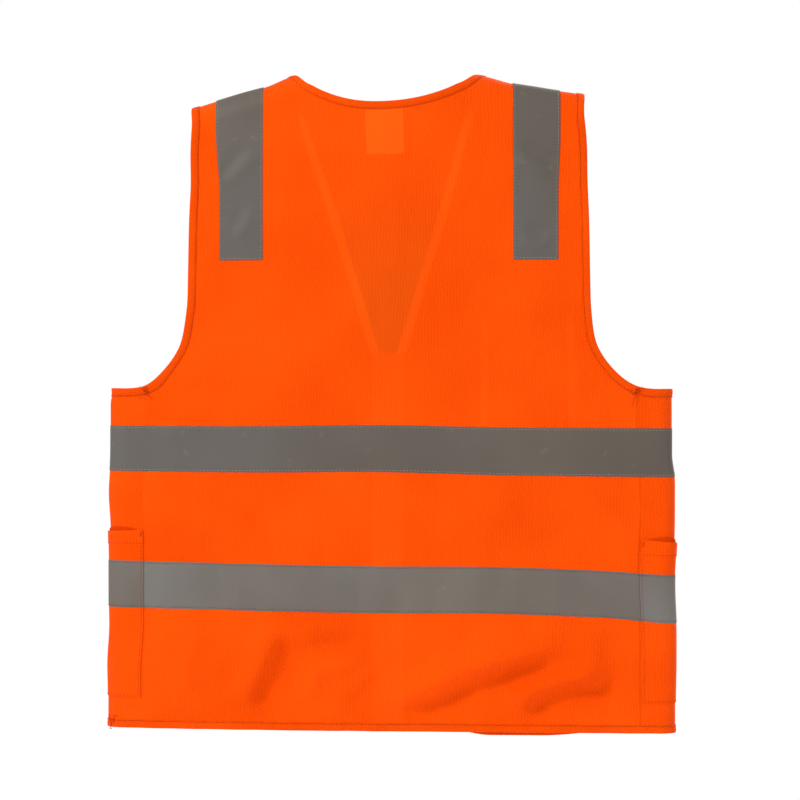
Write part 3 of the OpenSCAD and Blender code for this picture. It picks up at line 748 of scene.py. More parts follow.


# the back's knit carries the painted light and shade over what lies behind it
BACK = knitted("knit_back", ORANGE, ORANGE_LIGHT, ORANGE_DARK, painted_see_through_shading)
KNIT = knitted("knit", ORANGE, ORANGE_LIGHT, ORANGE_DARK)
BINDING = knitted("binding", (0.58, 0.046, 0.0008), (0.64, 0.058, 0.0012), (0.52, 0.038, 0.0006), wale=0.0007)
# a darker copy of the knit: painted shade for the pocket mouth's inner turning
SHADED_TURNING = knitted("knit_turning_painted_shade", (0.44, 0.028, 0.0005), (0.47, 0.033, 0.0006), (0.40, 0.023, 0.0004))
TAPE = tape("reflective_tape", (0.056, 0.045, 0.035), (0.077, 0.064, 0.051), (0.068, 0.062, 0.056), shine=0.22)
LOWER_TAPE = tape("lower_reflective_tape", (0.074, 0.061, 0.050), (0.098, 0.083, 0.069), (0.098, 0.094, 0.088),
                  shine=0.28)
# both tones far darker than the cloth: painted shade for the groove each row of stitches presses in
SHADED_ORANGE_THREAD = yarn("orange_thread_painted_shade", (0.72, 0.05, 0.003), (0.34, 0.021, 0.001), (0.17, 0.009, 0.0005))
PALE_THREAD = yarn("pale_thread", (0.4, 0.38, 0.35), (0.27, 0.24, 0.21), (0.13, 0.11, 0.09), shine=0.2)
DARK_THREAD = yarn("dark_thread", (0.16, 0.05, 0.03), (0.13, 0.05, 0.03), (0.05, 0.02, 0.012))
ZIP_CLOTH = material("zip_cloth", ORANGE, 0.8,
                     lambda n, s: woven(n, s, (0.62, 0.062, 0.003), (0.50, 0.038, 0.0015), 0.0009),
                     Specular_IOR_Level=0.1, Specular_Tint=(1, 0.3, 0.05, 1))
ZIP_TEETH = material("zip_teeth", (0.50, 0.040, 0.002), 0.4, moulded,
                     Specular_IOR_Level=0.3, Specular_Tint=(1, 0.35, 0.1, 1))
METAL = material("zip_metal", (0.7, 0.7, 0.71), 0.25, cast, Metallic=1.0)
FILM = material("clear_film", (0.16, 0.17, 0.18), 0.12, film, Alpha=0.12, IOR=1.5, Specular_IOR_Level=0.35)
LABEL_CLOTH = material("label_cloth", (0.8, 0.78, 0.74), 0.5,
                       lambda n, s: woven(n, s, (0.50, 0.485, 0.455), (0.41, 0.395, 0.37), 0.0006), Sheen_Weight=0.3)

# ---------------------------------------------------------------- outlines on the unrolled cloth

C, S = math.cos(SLOPE), math.sin(SLOPE)
AROUND = 2 * BEND + TURN  # a point at x on the far side of the bend lies at AROUND - x
FRONT_SEAM = AROUND - SEAM
TUCK = 0.0008  # how far a panel's edge lies inside its binding


def to_shoulder(path):
    x, z = np.array(path, float).T
    return np.stack([(x - AXIS[0]) * C - (z - AXIS[1]) * S, -(x - AXIS[0]) * S - (z - AXIS[1]) * C], 1)


def from_shoulder(path):
    a, b = np.array(path, float).T
    return np.stack([AXIS[0] + a * C - b * S, AXIS[1] - a * S - b * C], 1)


def unroll(path):
    """Points seen square on, in x and z, laid out on the cloth that climbs over the shoulder."""
    f = to_shoulder(path)
    f[:, 1] = np.where(f[:, 1] < 0, -R * np.arcsin(np.clip(-f[:, 1] / R, -1, 1)), f[:, 1])
    return from_shoulder(f)


def far_side(path):
    """A path on one side, as seen from the sheet that comes over the shoulder."""
    f = to_shoulder(path)
    f[:, 1] = -TURN - f[:, 1]
    return from_shoulder(f)


def mirrored(path):
    return np.array(path, float)[::-1] * [-1, 1]


def hand(path, s):
    return np.array(path, float) if s > 0 else mirrored(path)


def inset(path, d):
    path = np.array(path, float)
    return path + d * sided(path)


neck_r = (NECK ** 2 + NECK_DIP ** 2) / (2 * NECK_DIP)
turns = np.linspace(0, math.asin(NECK / neck_r), 9)
neck_back = unroll(np.stack([neck_r * np.sin(turns), neck_r - NECK_DIP - neck_r * np.cos(turns)], 1))
neck_back[-1] = from_shoulder([(0.0005, -TURN / 2)])[0]
v_front = unroll([(0.0965, -0.018), (0.0935, -0.032), (0.0865, -0.056)])
v_line = [(0.0865 + (V_FOOT[0] - 0.0865) * t, -0.056 + (V_FOOT[1] + 0.056) * t) for t in (0.25, 0.5, 0.75, 1)]
v_front = np.vstack([v_front, v_line])
neck_back = curve(neck_back, 45)
v_path = curve(np.vstack([neck_back[-1:], far_side(v_front)]), 100)  # seen from the back's sheet

oval = [(BEND - (BEND - 0.218) * math.cos(t), -0.262 - 0.073 * math.sin(t))
        for t in np.radians([15, 30, 45, 60, 75, 90])]
arm_half = np.vstack([from_shoulder([(0.1136, -TURN / 2), (0.1147, -TURN / 4), (0.1172, 0)]),
                      [(0.212, -0.09), (0.2155, -0.15), (0.2168, -0.212), (0.2178, -0.25)], oval])
across = [(BEND + TURN * t, oval[-1][1]) for t in (0.25, 0.5, 0.75)]
arm = curve(np.vstack([arm_half, across, (arm_half * [-1, 1] + [AROUND, 0])[::-1]]), 280)


def up_to(path, limit):
    """The part of a path up to where p reaches a limit, with that point."""
    last = int(np.argmax(path[:, 0] >= limit))
    a, b = path[last - 1], path[last]
    return np.vstack([path[:last], a + (b - a) * (limit - a[0]) / (b[0] - a[0])])


def seam_groove(p, q):
    f = to_shoulder(np.stack([np.abs(p), q], 1))
    side = np.minimum(np.abs(np.abs(p) - SEAM), np.abs(np.abs(p) - FRONT_SEAM)) + 10 * (q > -0.33)
    return -0.0003 * np.exp(-np.minimum(np.abs(f[:, 1] + TURN / 2), side) / 0.0015)


# ---------------------------------------------------------------- panels

SIDES = ((1, "left"), (-1, "right"))
pieces = {}
neck_cut, arm_cut = inset(neck_back, TUCK), inset(arm, TUCK)
back_arm = up_to(arm_cut, SEAM)
half = [neck_cut, [neck_cut[-1], back_arm[0]], back_arm, [back_arm[-1], (SEAM, HEM + TUCK)]]
edges = half + [[(SEAM, HEM + TUCK), (-SEAM, HEM + TUCK)]] + [mirrored(e) for e in reversed(half)]
pieces["back_cloth"] = cut_cloth("back_cloth", edges, 1, BACK)
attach(pieces["back_cloth"], "vest")
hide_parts("back_panel")


def blend(piece):
    """Bakes a piece's placement into its mesh, leaving it joined to no body."""
    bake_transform(piece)


for s, name in SIDES:
    front_arm = up_to(arm_cut, FRONT_SEAM)
    v_cut = far_side(inset(v_path, TUCK))
    outline = [v_cut, [v_cut[-1], (EDGE, V_FOOT[1])], [(EDGE, V_FOOT[1]), (EDGE, HEM + TUCK)],
               [(EDGE, HEM + TUCK), (FRONT_SEAM, HEM + TUCK)], [(FRONT_SEAM, HEM + TUCK), front_arm[-1]],
               front_arm[::-1], [front_arm[0], v_cut[0]]]
    outline = outline if s > 0 else [mirrored(e) for e in reversed(outline)]
    piece = cut_cloth(f"{name}_front_cloth", outline, -1, KNIT)
    blend(piece)
    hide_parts(f"{name}_front_panel", f"{name}_front_flap")
    pieces[f"{name}_front_cloth"] = piece

# ---------------------------------------------------------------- bindings

FIRST_ROW = 0.0010  # how far a row of stitches lies inside a binding's inner edge
STITCHED = 0.00105
JOIN = 0.030  # front strips run this far past the side bend's front end


def finish_piece(name, piece, body=None, stands_for=()):
    """Joins a piece to its body, or without a body bakes its placement into its mesh."""
    if body:
        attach(piece, body)
    else:
        blend(piece)
    if stands_for:
        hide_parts(*stands_for)
    pieces[name] = piece


def sew(name, rows, slot, body=None, side=0, material=SHADED_ORANGE_THREAD, **stitch):
    finish_piece(name, thread(name, rows, material, **stitch), body)


def lay(name, p, q, sheet, height, thick, material, body=None):
    """A sheet in place of the CAD node of the same name."""
    finish_piece(name, grid_sheet(name, p, q, sheet, height, thick, material), body, [name])


def bind(name, path, sheet, body=None, side=0):
    """A binding folded over the edge along a path, with a row of stitches on both faces."""
    full = f"{name}_binding"
    finish_piece(full, strip(full, path, binding_section(), sheet, BINDING), body, [full])
    rows = [(inset(path, BIND - FIRST_ROW), h, sheet) for h in (STITCHED, -STITCHED)]
    sew(f"{name}_stitching", rows, "orange_binding", body, side, gap=0.0005)


bind("neck", np.vstack([mirrored(neck_back)[:-1], neck_back]), 1, "vest")
for s, name in SIDES:
    bind(f"{name}_armhole", hand(arm, s), 1, "vest")
    bind(f"{name}_v", hand(v_path, s), 1, side=s)

# Hem: the cloth lies above the edge, so the path runs towards -X on the back's sheet
FAR = AROUND - BEND + JOIN
bind("hem", straight((FAR, HEM), (-FAR, HEM), 300), 1, "vest")
PIN_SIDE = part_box("left_hem_binding")[0].x
for s, name in SIDES:
    bind(f"{name}_hem", hand(straight((BEND - JOIN, HEM), (PIN_SIDE, HEM), 80), s), -1, side=s)

# ---------------------------------------------------------------- reflective tape

TAPE_LOW, TAPE_HIGH = 0.00036, 0.00078
ON_TAPE = 0.00085
ROW_IN = 0.0019  # rows of stitches run this far inside a tape's edges


def band_tape(name, p0, p1, z, side, s, lift=None, stands_for=(), body=None, stitches=PALE_THREAD,
              sewn_short=0.0):
    """A stretch of band with its two rows of stitches, drawn for the left or mirrored."""
    count = max(3, round(abs(p1 - p0) / 0.004))
    path = straight((p0, z[1]), (p1, z[1]), count) * [s, 1]
    columns = np.linspace(0, z[1] - z[0], 14)
    section = [((s * a, TAPE_HIGH - (0.0002 if a in columns[[0, -1]] else 0)), (s * a, TAPE_LOW)) for a in columns]
    piece = strip(name, path, section, side, LOWER_TAPE if z == LOWER else TAPE, lift=lift)
    finish_piece(name, piece, body, stands_for)
    level = (lambda p, q: ON_TAPE + lift(p, q)) if lift else ON_TAPE
    rows = [(straight((s * p0, at), (s * (p1 - sewn_short), at), count), level, side)
            for at in (z[1] - ROW_IN, z[0] + ROW_IN)]
    sew(name + "_stitching", rows, "reflective_tape", body, s, stitches)


def long_band(name, reach, sewn, z, count, material, stitches):
    """A band across the whole back, on one sheet."""
    section = flat_section(z[1] - z[0], TAPE_LOW, TAPE_HIGH, 15)
    piece = strip(name, straight((-reach, z[1]), (reach, z[1]), count), section, 1, material)
    finish_piece(name, piece, "vest", stands_for=[name])
    rows = [(straight((-sewn, at), (sewn, at), count), ON_TAPE, 1) for at in (z[1] - ROW_IN, z[0] + ROW_IN)]
    sew(name + "_stitching", rows, "reflective_tape", "vest", material=stitches)


def pocket_share(p):
    return np.clip((np.abs(p) - POCKET_BACK) / (AROUND - POCKET_FRONT - POCKET_BACK), 0, 1)


def pocket_lift(p, q):
    """A side pocket stands off the vest most at the middle of its mouth."""
    v = np.clip((q - SIDE_POCKET[0]) / (SIDE_POCKET[1] - SIDE_POCKET[0]), 0, 1)
    u = pocket_share(p) ** 1.8
    return 0.0008 + 0.0042 * np.sin(math.pi * u) ** 0.8 * smooth(0, 0.3, v) * (0.35 + 0.65 * smooth(0.3, 1, v))


UNDER = 0.004  # how far the back's and front's lower bands run in under a side pocket
long_band("upper_tape", FAR, FAR, UPPER, 330, TAPE, PALE_THREAD)
long_band("back_lower_tape", POCKET_BACK + UNDER, POCKET_BACK, LOWER, 150, LOWER_TAPE, DARK_THREAD)

for s, name in SIDES:
    band_tape(f"{name}_upper_tape", EDGE, BEND - JOIN, UPPER, -1, s, stands_for=[f"{name}_upper_tape"])
    band_tape(f"{name}_lower_tape", EDGE, POCKET_FRONT + UNDER, LOWER, -1, s, stitches=DARK_THREAD,
              stands_for=[f"{name}_lower_tape", f"{name}_side_lower_tape"], sewn_short=UNDER)
    band_tape(f"{name}_pocket_tape", POCKET_BACK - 0.0004, AROUND - POCKET_FRONT, LOWER, 1, s,
              lift=pocket_lift, body="vest", stitches=DARK_THREAD, stands_for=[f"{name}_pocket_tape"])

# Shoulder tapes: upright both in front and behind, over the shoulder seam
x0, x1, low_end = SHOULDER_TAPE
ROUND = 0.026  # the rows get closer over this last stretch


def climb(x, bottom, counts, reach=ROUND):
    """An upright line at x, from the tape's lower end to the shoulder seam."""
    top = -(x - NECK) * math.tan(SLOPE)
    z = np.concatenate([np.linspace(bottom, top - ROUND, counts[0])[:-1],
                        top - ROUND + reach * np.sin(np.linspace(0, math.pi / 2, counts[1]))])
    return unroll(np.stack([np.full(len(z), x), z], 1))


for s, name in SIDES:
    behind = np.array([climb(x, low_end, (40, 12)) for x in np.linspace(x0, x1, 15)]).transpose(1, 0, 2)
    # the last row lies on the seam itself, at the same place from both sides
    f = to_shoulder(behind[-1])
    behind[-1] = from_shoulder(np.stack([f[:, 0], np.full(len(f), -TURN / 2)], 1))
    grid = np.concatenate([behind, behind[-2::-1]])
    side = np.where(np.arange(len(grid)) < len(behind), 1.0, -1.0)[:, None] * np.ones(15)
    bow = 0.0004 * np.exp(-((np.arange(len(grid)) - len(behind) + 1) / 6.0) ** 2)[:, None]
    lay(f"{name}_shoulder_tape", s * grid[..., 0], grid[..., 1], side, (TAPE_LOW + TAPE_HIGH) / 2 + bow,
        TAPE_HIGH - TAPE_LOW, TAPE, "vest")
    rows = []
    for x in (x0 + ROW_IN, x1 - ROW_IN):
        line = climb(x, low_end + 0.001, (30, 16), ROUND - 0.0005) * [s, 1]
        rows += [(line, ON_TAPE + 0.0001, 1), (line, ON_TAPE + 0.0001, -1)]
    z = low_end + ROW_IN
    rows += [(straight((s * (x0 + 0.001), z), (s * (x1 - 0.001), z), 14), ON_TAPE, side) for side in (1, -1)]
    sew(f"{name}_shoulder_stitching", rows, "reflective_tape", "vest", material=PALE_THREAD)

# ---------------------------------------------------------------- pockets


def patch(name, p0, p1, z0, z1, side, lift, s, columns=44, rows=60):
    p, q = np.meshgrid(np.linspace(p0, p1, columns), np.linspace(z0, z1, rows))
    # the mouth's edge is turned over twice, and dips a little at its middle
    u = (p - p0) / (p1 - p0)
    v = (q - z0) / (z1 - z0)
    q = q - 0.003 * np.sin(math.pi * u) * smooth(0.9, 1, v)
    fold = 0.0005 * smooth(z1 - 0.0165, z1 - 0.0155, q)
    lay(name, s * p, q, side, lift(p, q) + fold / 2, 0.0006 + fold, KNIT, "vest")


def raised(lift, by):
    return lambda p, q: lift(p, q) + by


def bartack(x, top, width, count):
    return np.array([(x + width * (-1) ** i, top - 0.0075 + i * 0.0005) for i in range(count)])


SEWN_IN = 0.002
MOUTH_ROW = 0.015  # from the mouth down to the row that holds its turning
ON_POCKET, ON_TURNING, ON_TACK = 0.00045, 0.0009, 0.0011
TACK = dict(long=0.0020, gap=0.0004)
for s, name in SIDES:
    pf = AROUND - POCKET_FRONT
    patch(f"{name}_side_pocket", POCKET_BACK, pf, *SIDE_POCKET, 1, pocket_lift, s)
    # the mouth's inner turning stands up a little behind its edge, in a darker knit that paints the shade inside the
    # mouth
    p, q = np.meshgrid(np.linspace(POCKET_BACK + 0.001, pf - 0.001, 60), np.linspace(0, 1, 10))
    u = (p - POCKET_BACK - 0.001) / (pf - POCKET_BACK - 0.002)
    rise = (0.0055 * np.sin(math.pi * np.clip(u / 0.32, 0, 1)) ** 0.7 * (u < 0.32)
            + 0.003 * np.sin(math.pi * np.clip((u - 0.32) / 0.68, 0, 1)) ** 0.7 * (u >= 0.32))
    q = SIDE_POCKET[1] - 0.015 + q * (0.0125 + rise)
    height = 0.0007 + 0.35 * (pocket_lift(p, q) - 0.0008)
    piece = grid_sheet(f"{name}_pocket_turning", s * p, q, 1, height, 0.0005, SHADED_TURNING)
    finish_piece(f"{name}_pocket_turning", piece, "vest")
    low, high = SIDE_POCKET
    columns = (POCKET_BACK + SEWN_IN, pf - SEWN_IN)
    rows = [(straight((s * x, z0), (s * x, z1), 20), raised(pocket_lift, ON_POCKET), 1) for x in columns
            for z0, z1 in ((low + 0.002, LOWER[0] - 0.0005), (LOWER[1] + 0.0005, high - 0.001))]
    rows += [(straight((s * POCKET_BACK, z), (s * pf, z), 60), raised(pocket_lift, on), 1)
             for z, on in ((low + SEWN_IN, ON_POCKET), (high - MOUTH_ROW, ON_TURNING))]
    sew(f"{name}_side_pocket_stitching", rows, "orange_knit", "vest")
    rows = []
    for x in columns:
        rows += [(straight((s * x, LOWER[0]), (s * x, LOWER[1]), 12), raised(pocket_lift, ON_TAPE), 1),
                 (bartack(x, high, 0.0008, 12) * [s, 1], raised(pocket_lift, ON_TACK), 1)]
    sew(f"{name}_pocket_tacks", rows, "orange_knit", "vest", **TACK)


def flat_lift(x0, x1, z0, z1, base, most):
    def lift(p, q):
        u, v = np.clip((np.abs(p) - x0) / (x1 - x0), 0, 1), np.clip((q - z0) / (z1 - z0), 0, 1)
        return base + most * np.sin(math.pi * u) ** 0.8 * smooth(0, 0.35, v) * (0.4 + 0.6 * smooth(0.3, 1, v))
    return lift


cx0, cx1, cz0, cz1 = -CHEST[1].x, -CHEST[0].x, CHEST[0].z, CHEST[1].z
chest_lift = flat_lift(cx0, cx1, cz0, cz1, 0.0008, 0.0038)
patch("chest_pocket", cx0, cx1, cz0, cz1, -1, chest_lift, -1, columns=34, rows=40)
left, right = -cx0 - SEWN_IN, -cx1 + SEWN_IN
corner = [(left, cz1 - 0.001), (left, cz0 + SEWN_IN), (right, cz0 + SEWN_IN), (right, cz1 - 0.001)]
rows = [(straight(*corner[i:i + 2], 40), raised(chest_lift, ON_POCKET), -1) for i in range(3)]
rows.append((straight((-cx0, cz1 - MOUTH_ROW), (-cx1, cz1 - MOUTH_ROW), 40), raised(chest_lift, ON_TURNING), -1))
sew("chest_pocket_stitching", rows, "orange_knit", "vest")
rows = [(bartack(x, cz1, 0.0011, 13), raised(chest_lift, ON_TACK), -1) for x in (left, right)]
sew("chest_pocket_tacks", rows, "orange_knit", "vest", **TACK)

# Identity pocket: clear film in a sewn border, open along its top
ix0, ix1, iz0, iz1 = CARD[0].x, CARD[1].x, CARD[0].z, CARD[1].z
card_lift = flat_lift(ix0, ix1, iz0, iz1, 0.0012, 0.0026)
p, q = np.meshgrid(np.linspace(ix0 + 0.004, ix1 - 0.004, 30), np.linspace(iz0 + 0.004, iz1 - 0.004, 24))
lay("id_pocket_window", p, q, -1, card_lift(p, q), 0.0004, FILM, "left_front")
r = 0.005  # the border's corner radius
loop = []
for cx, cz, start in ((ix1 - r, iz1 - r, 0), (ix0 + r, iz1 - r, 90), (ix0 + r, iz0 + r, 180), (ix1 - r, iz0 + r, 270)):
    turns = [math.radians(start + t) for t in range(0, 91, 15)]
    loop += [(cx + r * math.cos(t), cz + r * math.sin(t)) for t in turns]
loop = np.array(loop)[::-1]
dense = []
for i in range(len(loop)):
    a, b = loop[i], loop[(i + 1) % len(loop)]
    k = max(1, round(np.linalg.norm(b - a) / 0.004))
    dense += [a + (b - a) * t / k for t in range(k)]
loop = np.array(dense)
BORDER = 0.006
border = [((d, 0.0007 - 0.0003 * (d in (0, BORDER)) + 0.00012 * math.sin(math.pi * d / BORDER)), (d, -0.0005))
          for d in (0, 0.0006, 0.002, 0.004, 0.0054, BORDER)]
piece = strip("id_pocket_frame", loop, border, -1, BINDING, closed=True, lift=card_lift)
finish_piece("id_pocket_frame", piece, "left_front", stands_for=["id_pocket_frame"])
sewn = inset(loop, 0.0045)
sew("id_pocket_stitching", [(np.vstack([sewn, sewn[:1]]), raised(card_lift, 0.00085), -1)], "orange_knit", "left_front")

# ---------------------------------------------------------------- inside: label and seams

lx, lz0, lz1 = LABEL[1].x, LABEL[0].z, LABEL[1].z
p, q = np.meshgrid(np.linspace(-lx, lx, 20), np.linspace(lz0, lz1 + 0.006, 26))
fall = (lz1 - q) / (lz1 - lz0)
height = -0.0016 - 0.0022 * np.clip(fall, 0, 1) ** 1.6 - 0.0004 * np.sin(p * 180) * np.clip(fall, 0, 1)
lay("care_label", p, q, 1, height, 0.0003, LABEL_CLOTH, "vest")

ALLOWANCE = 0.0095  # width of the side seam's allowance
SHOULDER_SEAM = (0.010, 0.094)  # the shoulder seam's allowance: width and length
SIDE_SEAM_TOP = 0.346


def frill(across, q):
    """How deep the side seam's allowance stands, from its seam (0) to its free edge (1)."""
    return 0.0012 * across * (1 + 0.5 * np.sin(q * 160))


for s, name in SIDES:
    u = np.linspace(0, 1, 80)[:, None]
    w = np.linspace(-0.5, 0.5, 5)[None, :]
    along_seam = 0.010 + u * SHOULDER_SEAM[1] + 0 * w
    f = np.stack([along_seam, -TURN / 2 + SHOULDER_SEAM[0] * w + 0 * u], -1).reshape(-1, 2)
    g = from_shoulder(f).reshape(80, 5, 2)
    lay(f"{name}_shoulder_seam", s * g[..., 0], g[..., 1], 1, -0.0014 + 0.0003 * np.sin(u * 70) * w, 0.0005, KNIT,
        "vest")
    z = np.linspace(HEM + 0.009, -SIDE_SEAM_TOP, 120)[:, None]
    p = SEAM + 0.0002 + ALLOWANCE * (w + 0.5) + 0 * z
    lay(f"{name}_side_seam", s * p, z + 0 * w, 1, -0.0014 - frill(w + 0.5, z), 0.0005, KNIT, "vest")
    zig = [(s * (SEAM + 0.0052 + 0.0038 * (-1) ** i), HEM + 0.010 + i * 0.0014) for i in range(238)]
    knots = from_shoulder([(0.011 + i * 0.0014, -TURN / 2 + 0.004 * (-1) ** i) for i in range(66)]) * [s, 1]
    rows = [(np.array(zig), lambda p, q: -0.0019 - frill((np.abs(p) - SEAM) / ALLOWANCE, q), 1), (knots, -0.0018, 1)]
    sew(f"{name}_overlock", rows, "orange_knit", "vest", long=0.0074, gap=0.0002, radius=0.0002)

# ---------------------------------------------------------------- zip

PITCH = 0.003
TOOTH = [(0.0052, 0.0005), (0.0032, 0.00062), (0.0016, 0.00042), (0.0008, 0.00046), (0.0003, 0.00062),
         (-0.0004, 0.0006), (-0.0008, 0.00038), (-0.00095, 0.0)]


def teeth(name, s, top, bottom, material):
    """A row of moulded teeth; the two rows are half a pitch apart and mesh."""
    profile = np.array(TOOTH + [(x, -z) for x, z in TOOTH[-2::-1]])
    k = len(profile)
    start = 0.0 if s > 0 else PITCH / 2
    at = ZIP[0] + 0.0105 + start + np.arange(400) * PITCH
    at = at[(at > bottom) & (at < top)]
    rings = [(0.8, -0.0017), (1.0, -0.0014), (1.0, 0.0006), (0.8, 0.0009)]
    faces = []
    middle = np.array([0.0020, 0.0])
    one = np.array([[*(middle + (v - middle) * [0.5 + size / 2, size]), h] for size, h in rings for v in profile])
    points = place(s * np.tile(one[:, 0], len(at)), np.repeat(at, len(one)) + np.tile(one[:, 1], len(at)),
                   np.tile(one[:, 2], len(at)), -1)
    for i in range(len(at)):
        faces += ring_faces(len(rings), k, i * len(one)) + end_faces(len(rings), k, i * len(one))
    return mesh_object(name, points, faces, points[:, [0, 2]], material)


for s, name in SIDES:
    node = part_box(f"{name}_zip_teeth")
    piece = teeth(f"{name}_zip_teeth", s, node[1].z, node[0].z, ZIP_TEETH)
    finish_piece(f"{name}_zip_teeth", piece, stands_for=[f"{name}_zip_teeth"])
    columns = np.array([0.0021, 0.0024, 0.003, 0.005, 0.009, 0.013, 0.0165, 0.017])
    p, q = np.meshgrid(columns, np.linspace(*ZIP, 150))
    height = np.where(p < 0.0029, -0.0006, -0.00105) - 0.0003 * smooth(0.009, 0.017, p) * (1 + np.sin(q * 90))
    thick = np.where(p < 0.0029, 0.0012, 0.0006)
    lay(f"{name}_zip_tape", s * p, q, -1, height, thick, ZIP_CLOTH)
    rows = [(straight((s * (EDGE + d), HEM + 0.009), (s * (EDGE + d), ZIP[1] - 0.004), 90), 0.00042, -1)
            for d in (0.0022, 0.0085)]
    sew(f"{name}_zip_stitching", rows, "orange_knit", side=s)

for name in ("zip_slider", "pull_tab", "left_top_stop", "right_top_stop", "insertion_pin", "retainer_box"):
    node = bpy.data.objects[name]
    node.data.materials.clear()
    node.data.materials.append(METAL)
    soften = node.modifiers.new("soft edges", "BEVEL")
    soften.width = 0.0002
    soften.segments = 3
    soften.limit_method = "ANGLE"
    soften.angle_limit = math.radians(35)
    soften.use_clamp_overlap = True

# ---------------------------------------------------------------- bartacks and loose ends


def tube(name, lines, radius=0.00022, sides=6):
    """Thin threads along (p, q, h, side) paths of the unrolled cloth."""
    points, faces, uv, base = [], [], [], 0
    for p, q, h, side in lines:
        path = np.stack([p, q], 1)
        n = sided(path)
        m = len(path)
        turn = np.arange(sides) / sides * 2 * math.pi
        taper = np.ones(m)
        taper[[0, -1]] = 0.4
        r = radius * taper[:, None]
        v = place(p[:, None] + n[:, None, 0] * r * np.cos(turn), q[:, None] + n[:, None, 1] * r * np.cos(turn),
                  np.asarray(h)[:, None] + r * np.sin(turn), side)
        faces += ring_faces(m, sides, base) + end_faces(m, sides, base)
        base += m * sides
        points.append(v.reshape(-1, 3))
        s = lengths(path)
        flat = np.broadcast_to(s[:, None], (m, sides)), np.broadcast_to(turn * radius, (m, sides))
        uv.append(np.stack(flat, -1).reshape(-1, 2))
    return mesh_object(name, np.vstack(points), faces, np.vstack(uv), SHADED_ORANGE_THREAD)


def wander(start, way, count, step, seed, bend=0.5):
    """A thread's loose end, curling by chance."""
    rng = np.random.default_rng(seed)
    a, out = way, [np.array(start, float)]
    turn = 0.0
    for _ in range(count):
        turn = 0.75 * turn + rng.normal(0, bend)
        a += turn * 0.3
        out.append(out[-1] + step * np.array([math.cos(a), math.sin(a)]))
    return curve(out, count * 3)


for s, name in SIDES:
    # where the side seam meets the armhole binding
    top = arm[np.argmin(np.abs(arm[: len(arm) // 2, 0] - SEAM)), 1]
    tack = np.array([(SEAM - 0.0025 + 0.0009 * i, top - 0.0072 + 0.0058 * (i % 2)) for i in range(7)])
    lines = [(s * tack[:, 0], tack[:, 1], np.full(7, 0.0015), 1)]
    for i, (way, count) in enumerate(((-1.2, 9), (-1.9, 7), (0.6, 5))):
        end = wander((SEAM + 0.002 * (i - 1), top - 0.006), way, count, 0.0016, 5 + 3 * i + (s > 0))
        rise = 0.0012 + 0.0012 * np.sin(np.linspace(0, 3, len(end)))
        lines.append((s * end[:, 0], end[:, 1], rise, 1))
    finish_piece(f"{name}_arm_tack", tube(f"{name}_arm_tack", lines), "vest")
    if s < 0:
        continue
    # a small tangle at the hem's corner
    lines = []
    for i in range(3):
        end = wander((BEND + 0.015 + 0.002 * i, HEM + 0.004), 1.5 - 1.6 * i, 11 + 2 * i, 0.0013, 31 + i, 0.9)
        end = np.clip(end, (BEND + 0.008, HEM - 0.0025), (BEND + 0.027, HEM + 0.0115))
        lines.append((end[:, 0], end[:, 1], 0.0012 + 0.0008 * np.sin(np.linspace(0, 5, len(end))), 1))
    finish_piece("left_hem_ends", tube("left_hem_ends", lines, 0.0003), "vest")

# ---------------------------------------------------------------- floor

floor_mesh = bmesh.new()
bmesh.ops.create_circle(floor_mesh, cap_ends=True, radius=1.3, segments=96)
data = bpy.data.meshes.new("floor")
floor_mesh.to_mesh(data)
floor_mesh.free()
floor = bpy.data.objects.new("floor", data)
floor.location = (0, 0, -1.02)
bpy.context.scene.collection.objects.link(floor)
data.materials.append(material("floor", (0.9, 0.9, 0.9), 0.9))

# ---------------------------------------------------------------- each sheet's size on its cloth, worked out and not kept


def on_cloth(piece):
    """The piece's map of the unrolled cloth, one row for each corner of a face."""
    uv = np.zeros(len(piece.data.loops) * 2, np.float32)
    piece.data.uv_layers["cloth"].data.foreach_get("uv", uv)
    return uv.reshape(-1, 2)


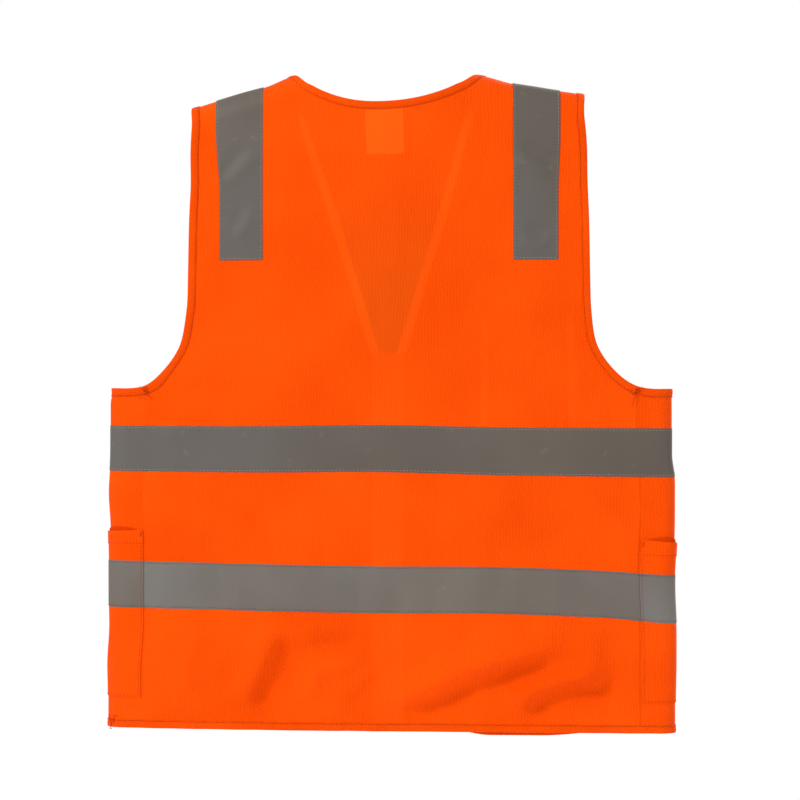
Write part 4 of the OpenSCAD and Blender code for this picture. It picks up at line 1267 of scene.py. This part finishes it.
def cut_size(piece):
    """Width, length and area of a piece on its cloth."""
    mesh, uv = piece.data, on_cloth(piece).astype(float)
    first, total = np.zeros(len(mesh.polygons), int), np.zeros(len(mesh.polygons), int)
    mesh.polygons.foreach_get("loop_start", first)
    mesh.polygons.foreach_get("loop_total", total)
    following = np.arange(len(uv)) + 1
    following[first + total - 1] = first
    cross = uv[:, 0] * uv[following, 1] - uv[following, 0] * uv[:, 1]
    area = np.sum(np.abs(np.add.reduceat(cross, first))) / 2
    size = uv.max(0) - uv.min(0)
    return size[0], size[1], min(area / 2, size[0] * size[1])


def along(piece):
    u = on_cloth(piece)[:, 0]
    return float(u.max() - u.min())


def declare(name, flat=None, area=None):
    piece = pieces[name]
    if flat is None:
        w, l, area = cut_size(piece)
        flat = (w, l)


FOLDED = 0.0170  # a binding's strip before it is folded in two over an edge
declare("back_cloth")
for s, name in SIDES:
    declare(f"{name}_front_cloth")
UPPER_WIDE, LOWER_WIDE = UPPER[1] - UPPER[0], LOWER[1] - LOWER[0]


def declare_strip(name, width):
    declare(name, (width, along(pieces[name])))


declare_strip("neck_binding", FOLDED)
declare_strip("hem_binding", FOLDED)
declare_strip("upper_tape", UPPER_WIDE)
declare_strip("back_lower_tape", LOWER_WIDE)
for s, name in SIDES:
    for part in ("armhole", "v", "hem"):
        declare_strip(f"{name}_{part}_binding", FOLDED)
    for part, on in (("upper_tape", "front_cloth"), ("lower_tape", "front_cloth"), ("pocket_tape", "side_pocket")):
        declare_strip(f"{name}_{part}", UPPER_WIDE)
    shoulder = 2 * (-low_end - (sum(SHOULDER_TAPE[:2]) / 2 - NECK) * math.tan(SLOPE) + 0.011)
    declare(f"{name}_shoulder_tape",
            (SHOULDER_TAPE[1] - SHOULDER_TAPE[0], shoulder))
    declare(f"{name}_side_pocket")
    declare(f"{name}_zip_tape")
    declare(f"{name}_shoulder_seam", SHOULDER_SEAM)
    declare(f"{name}_side_seam", (0.0102, -HEM - 0.009 - SIDE_SEAM_TOP))
for s, name in SIDES:
    declare(f"{name}_pocket_turning")
declare("chest_pocket")
declare("id_pocket_window")
declare("care_label")
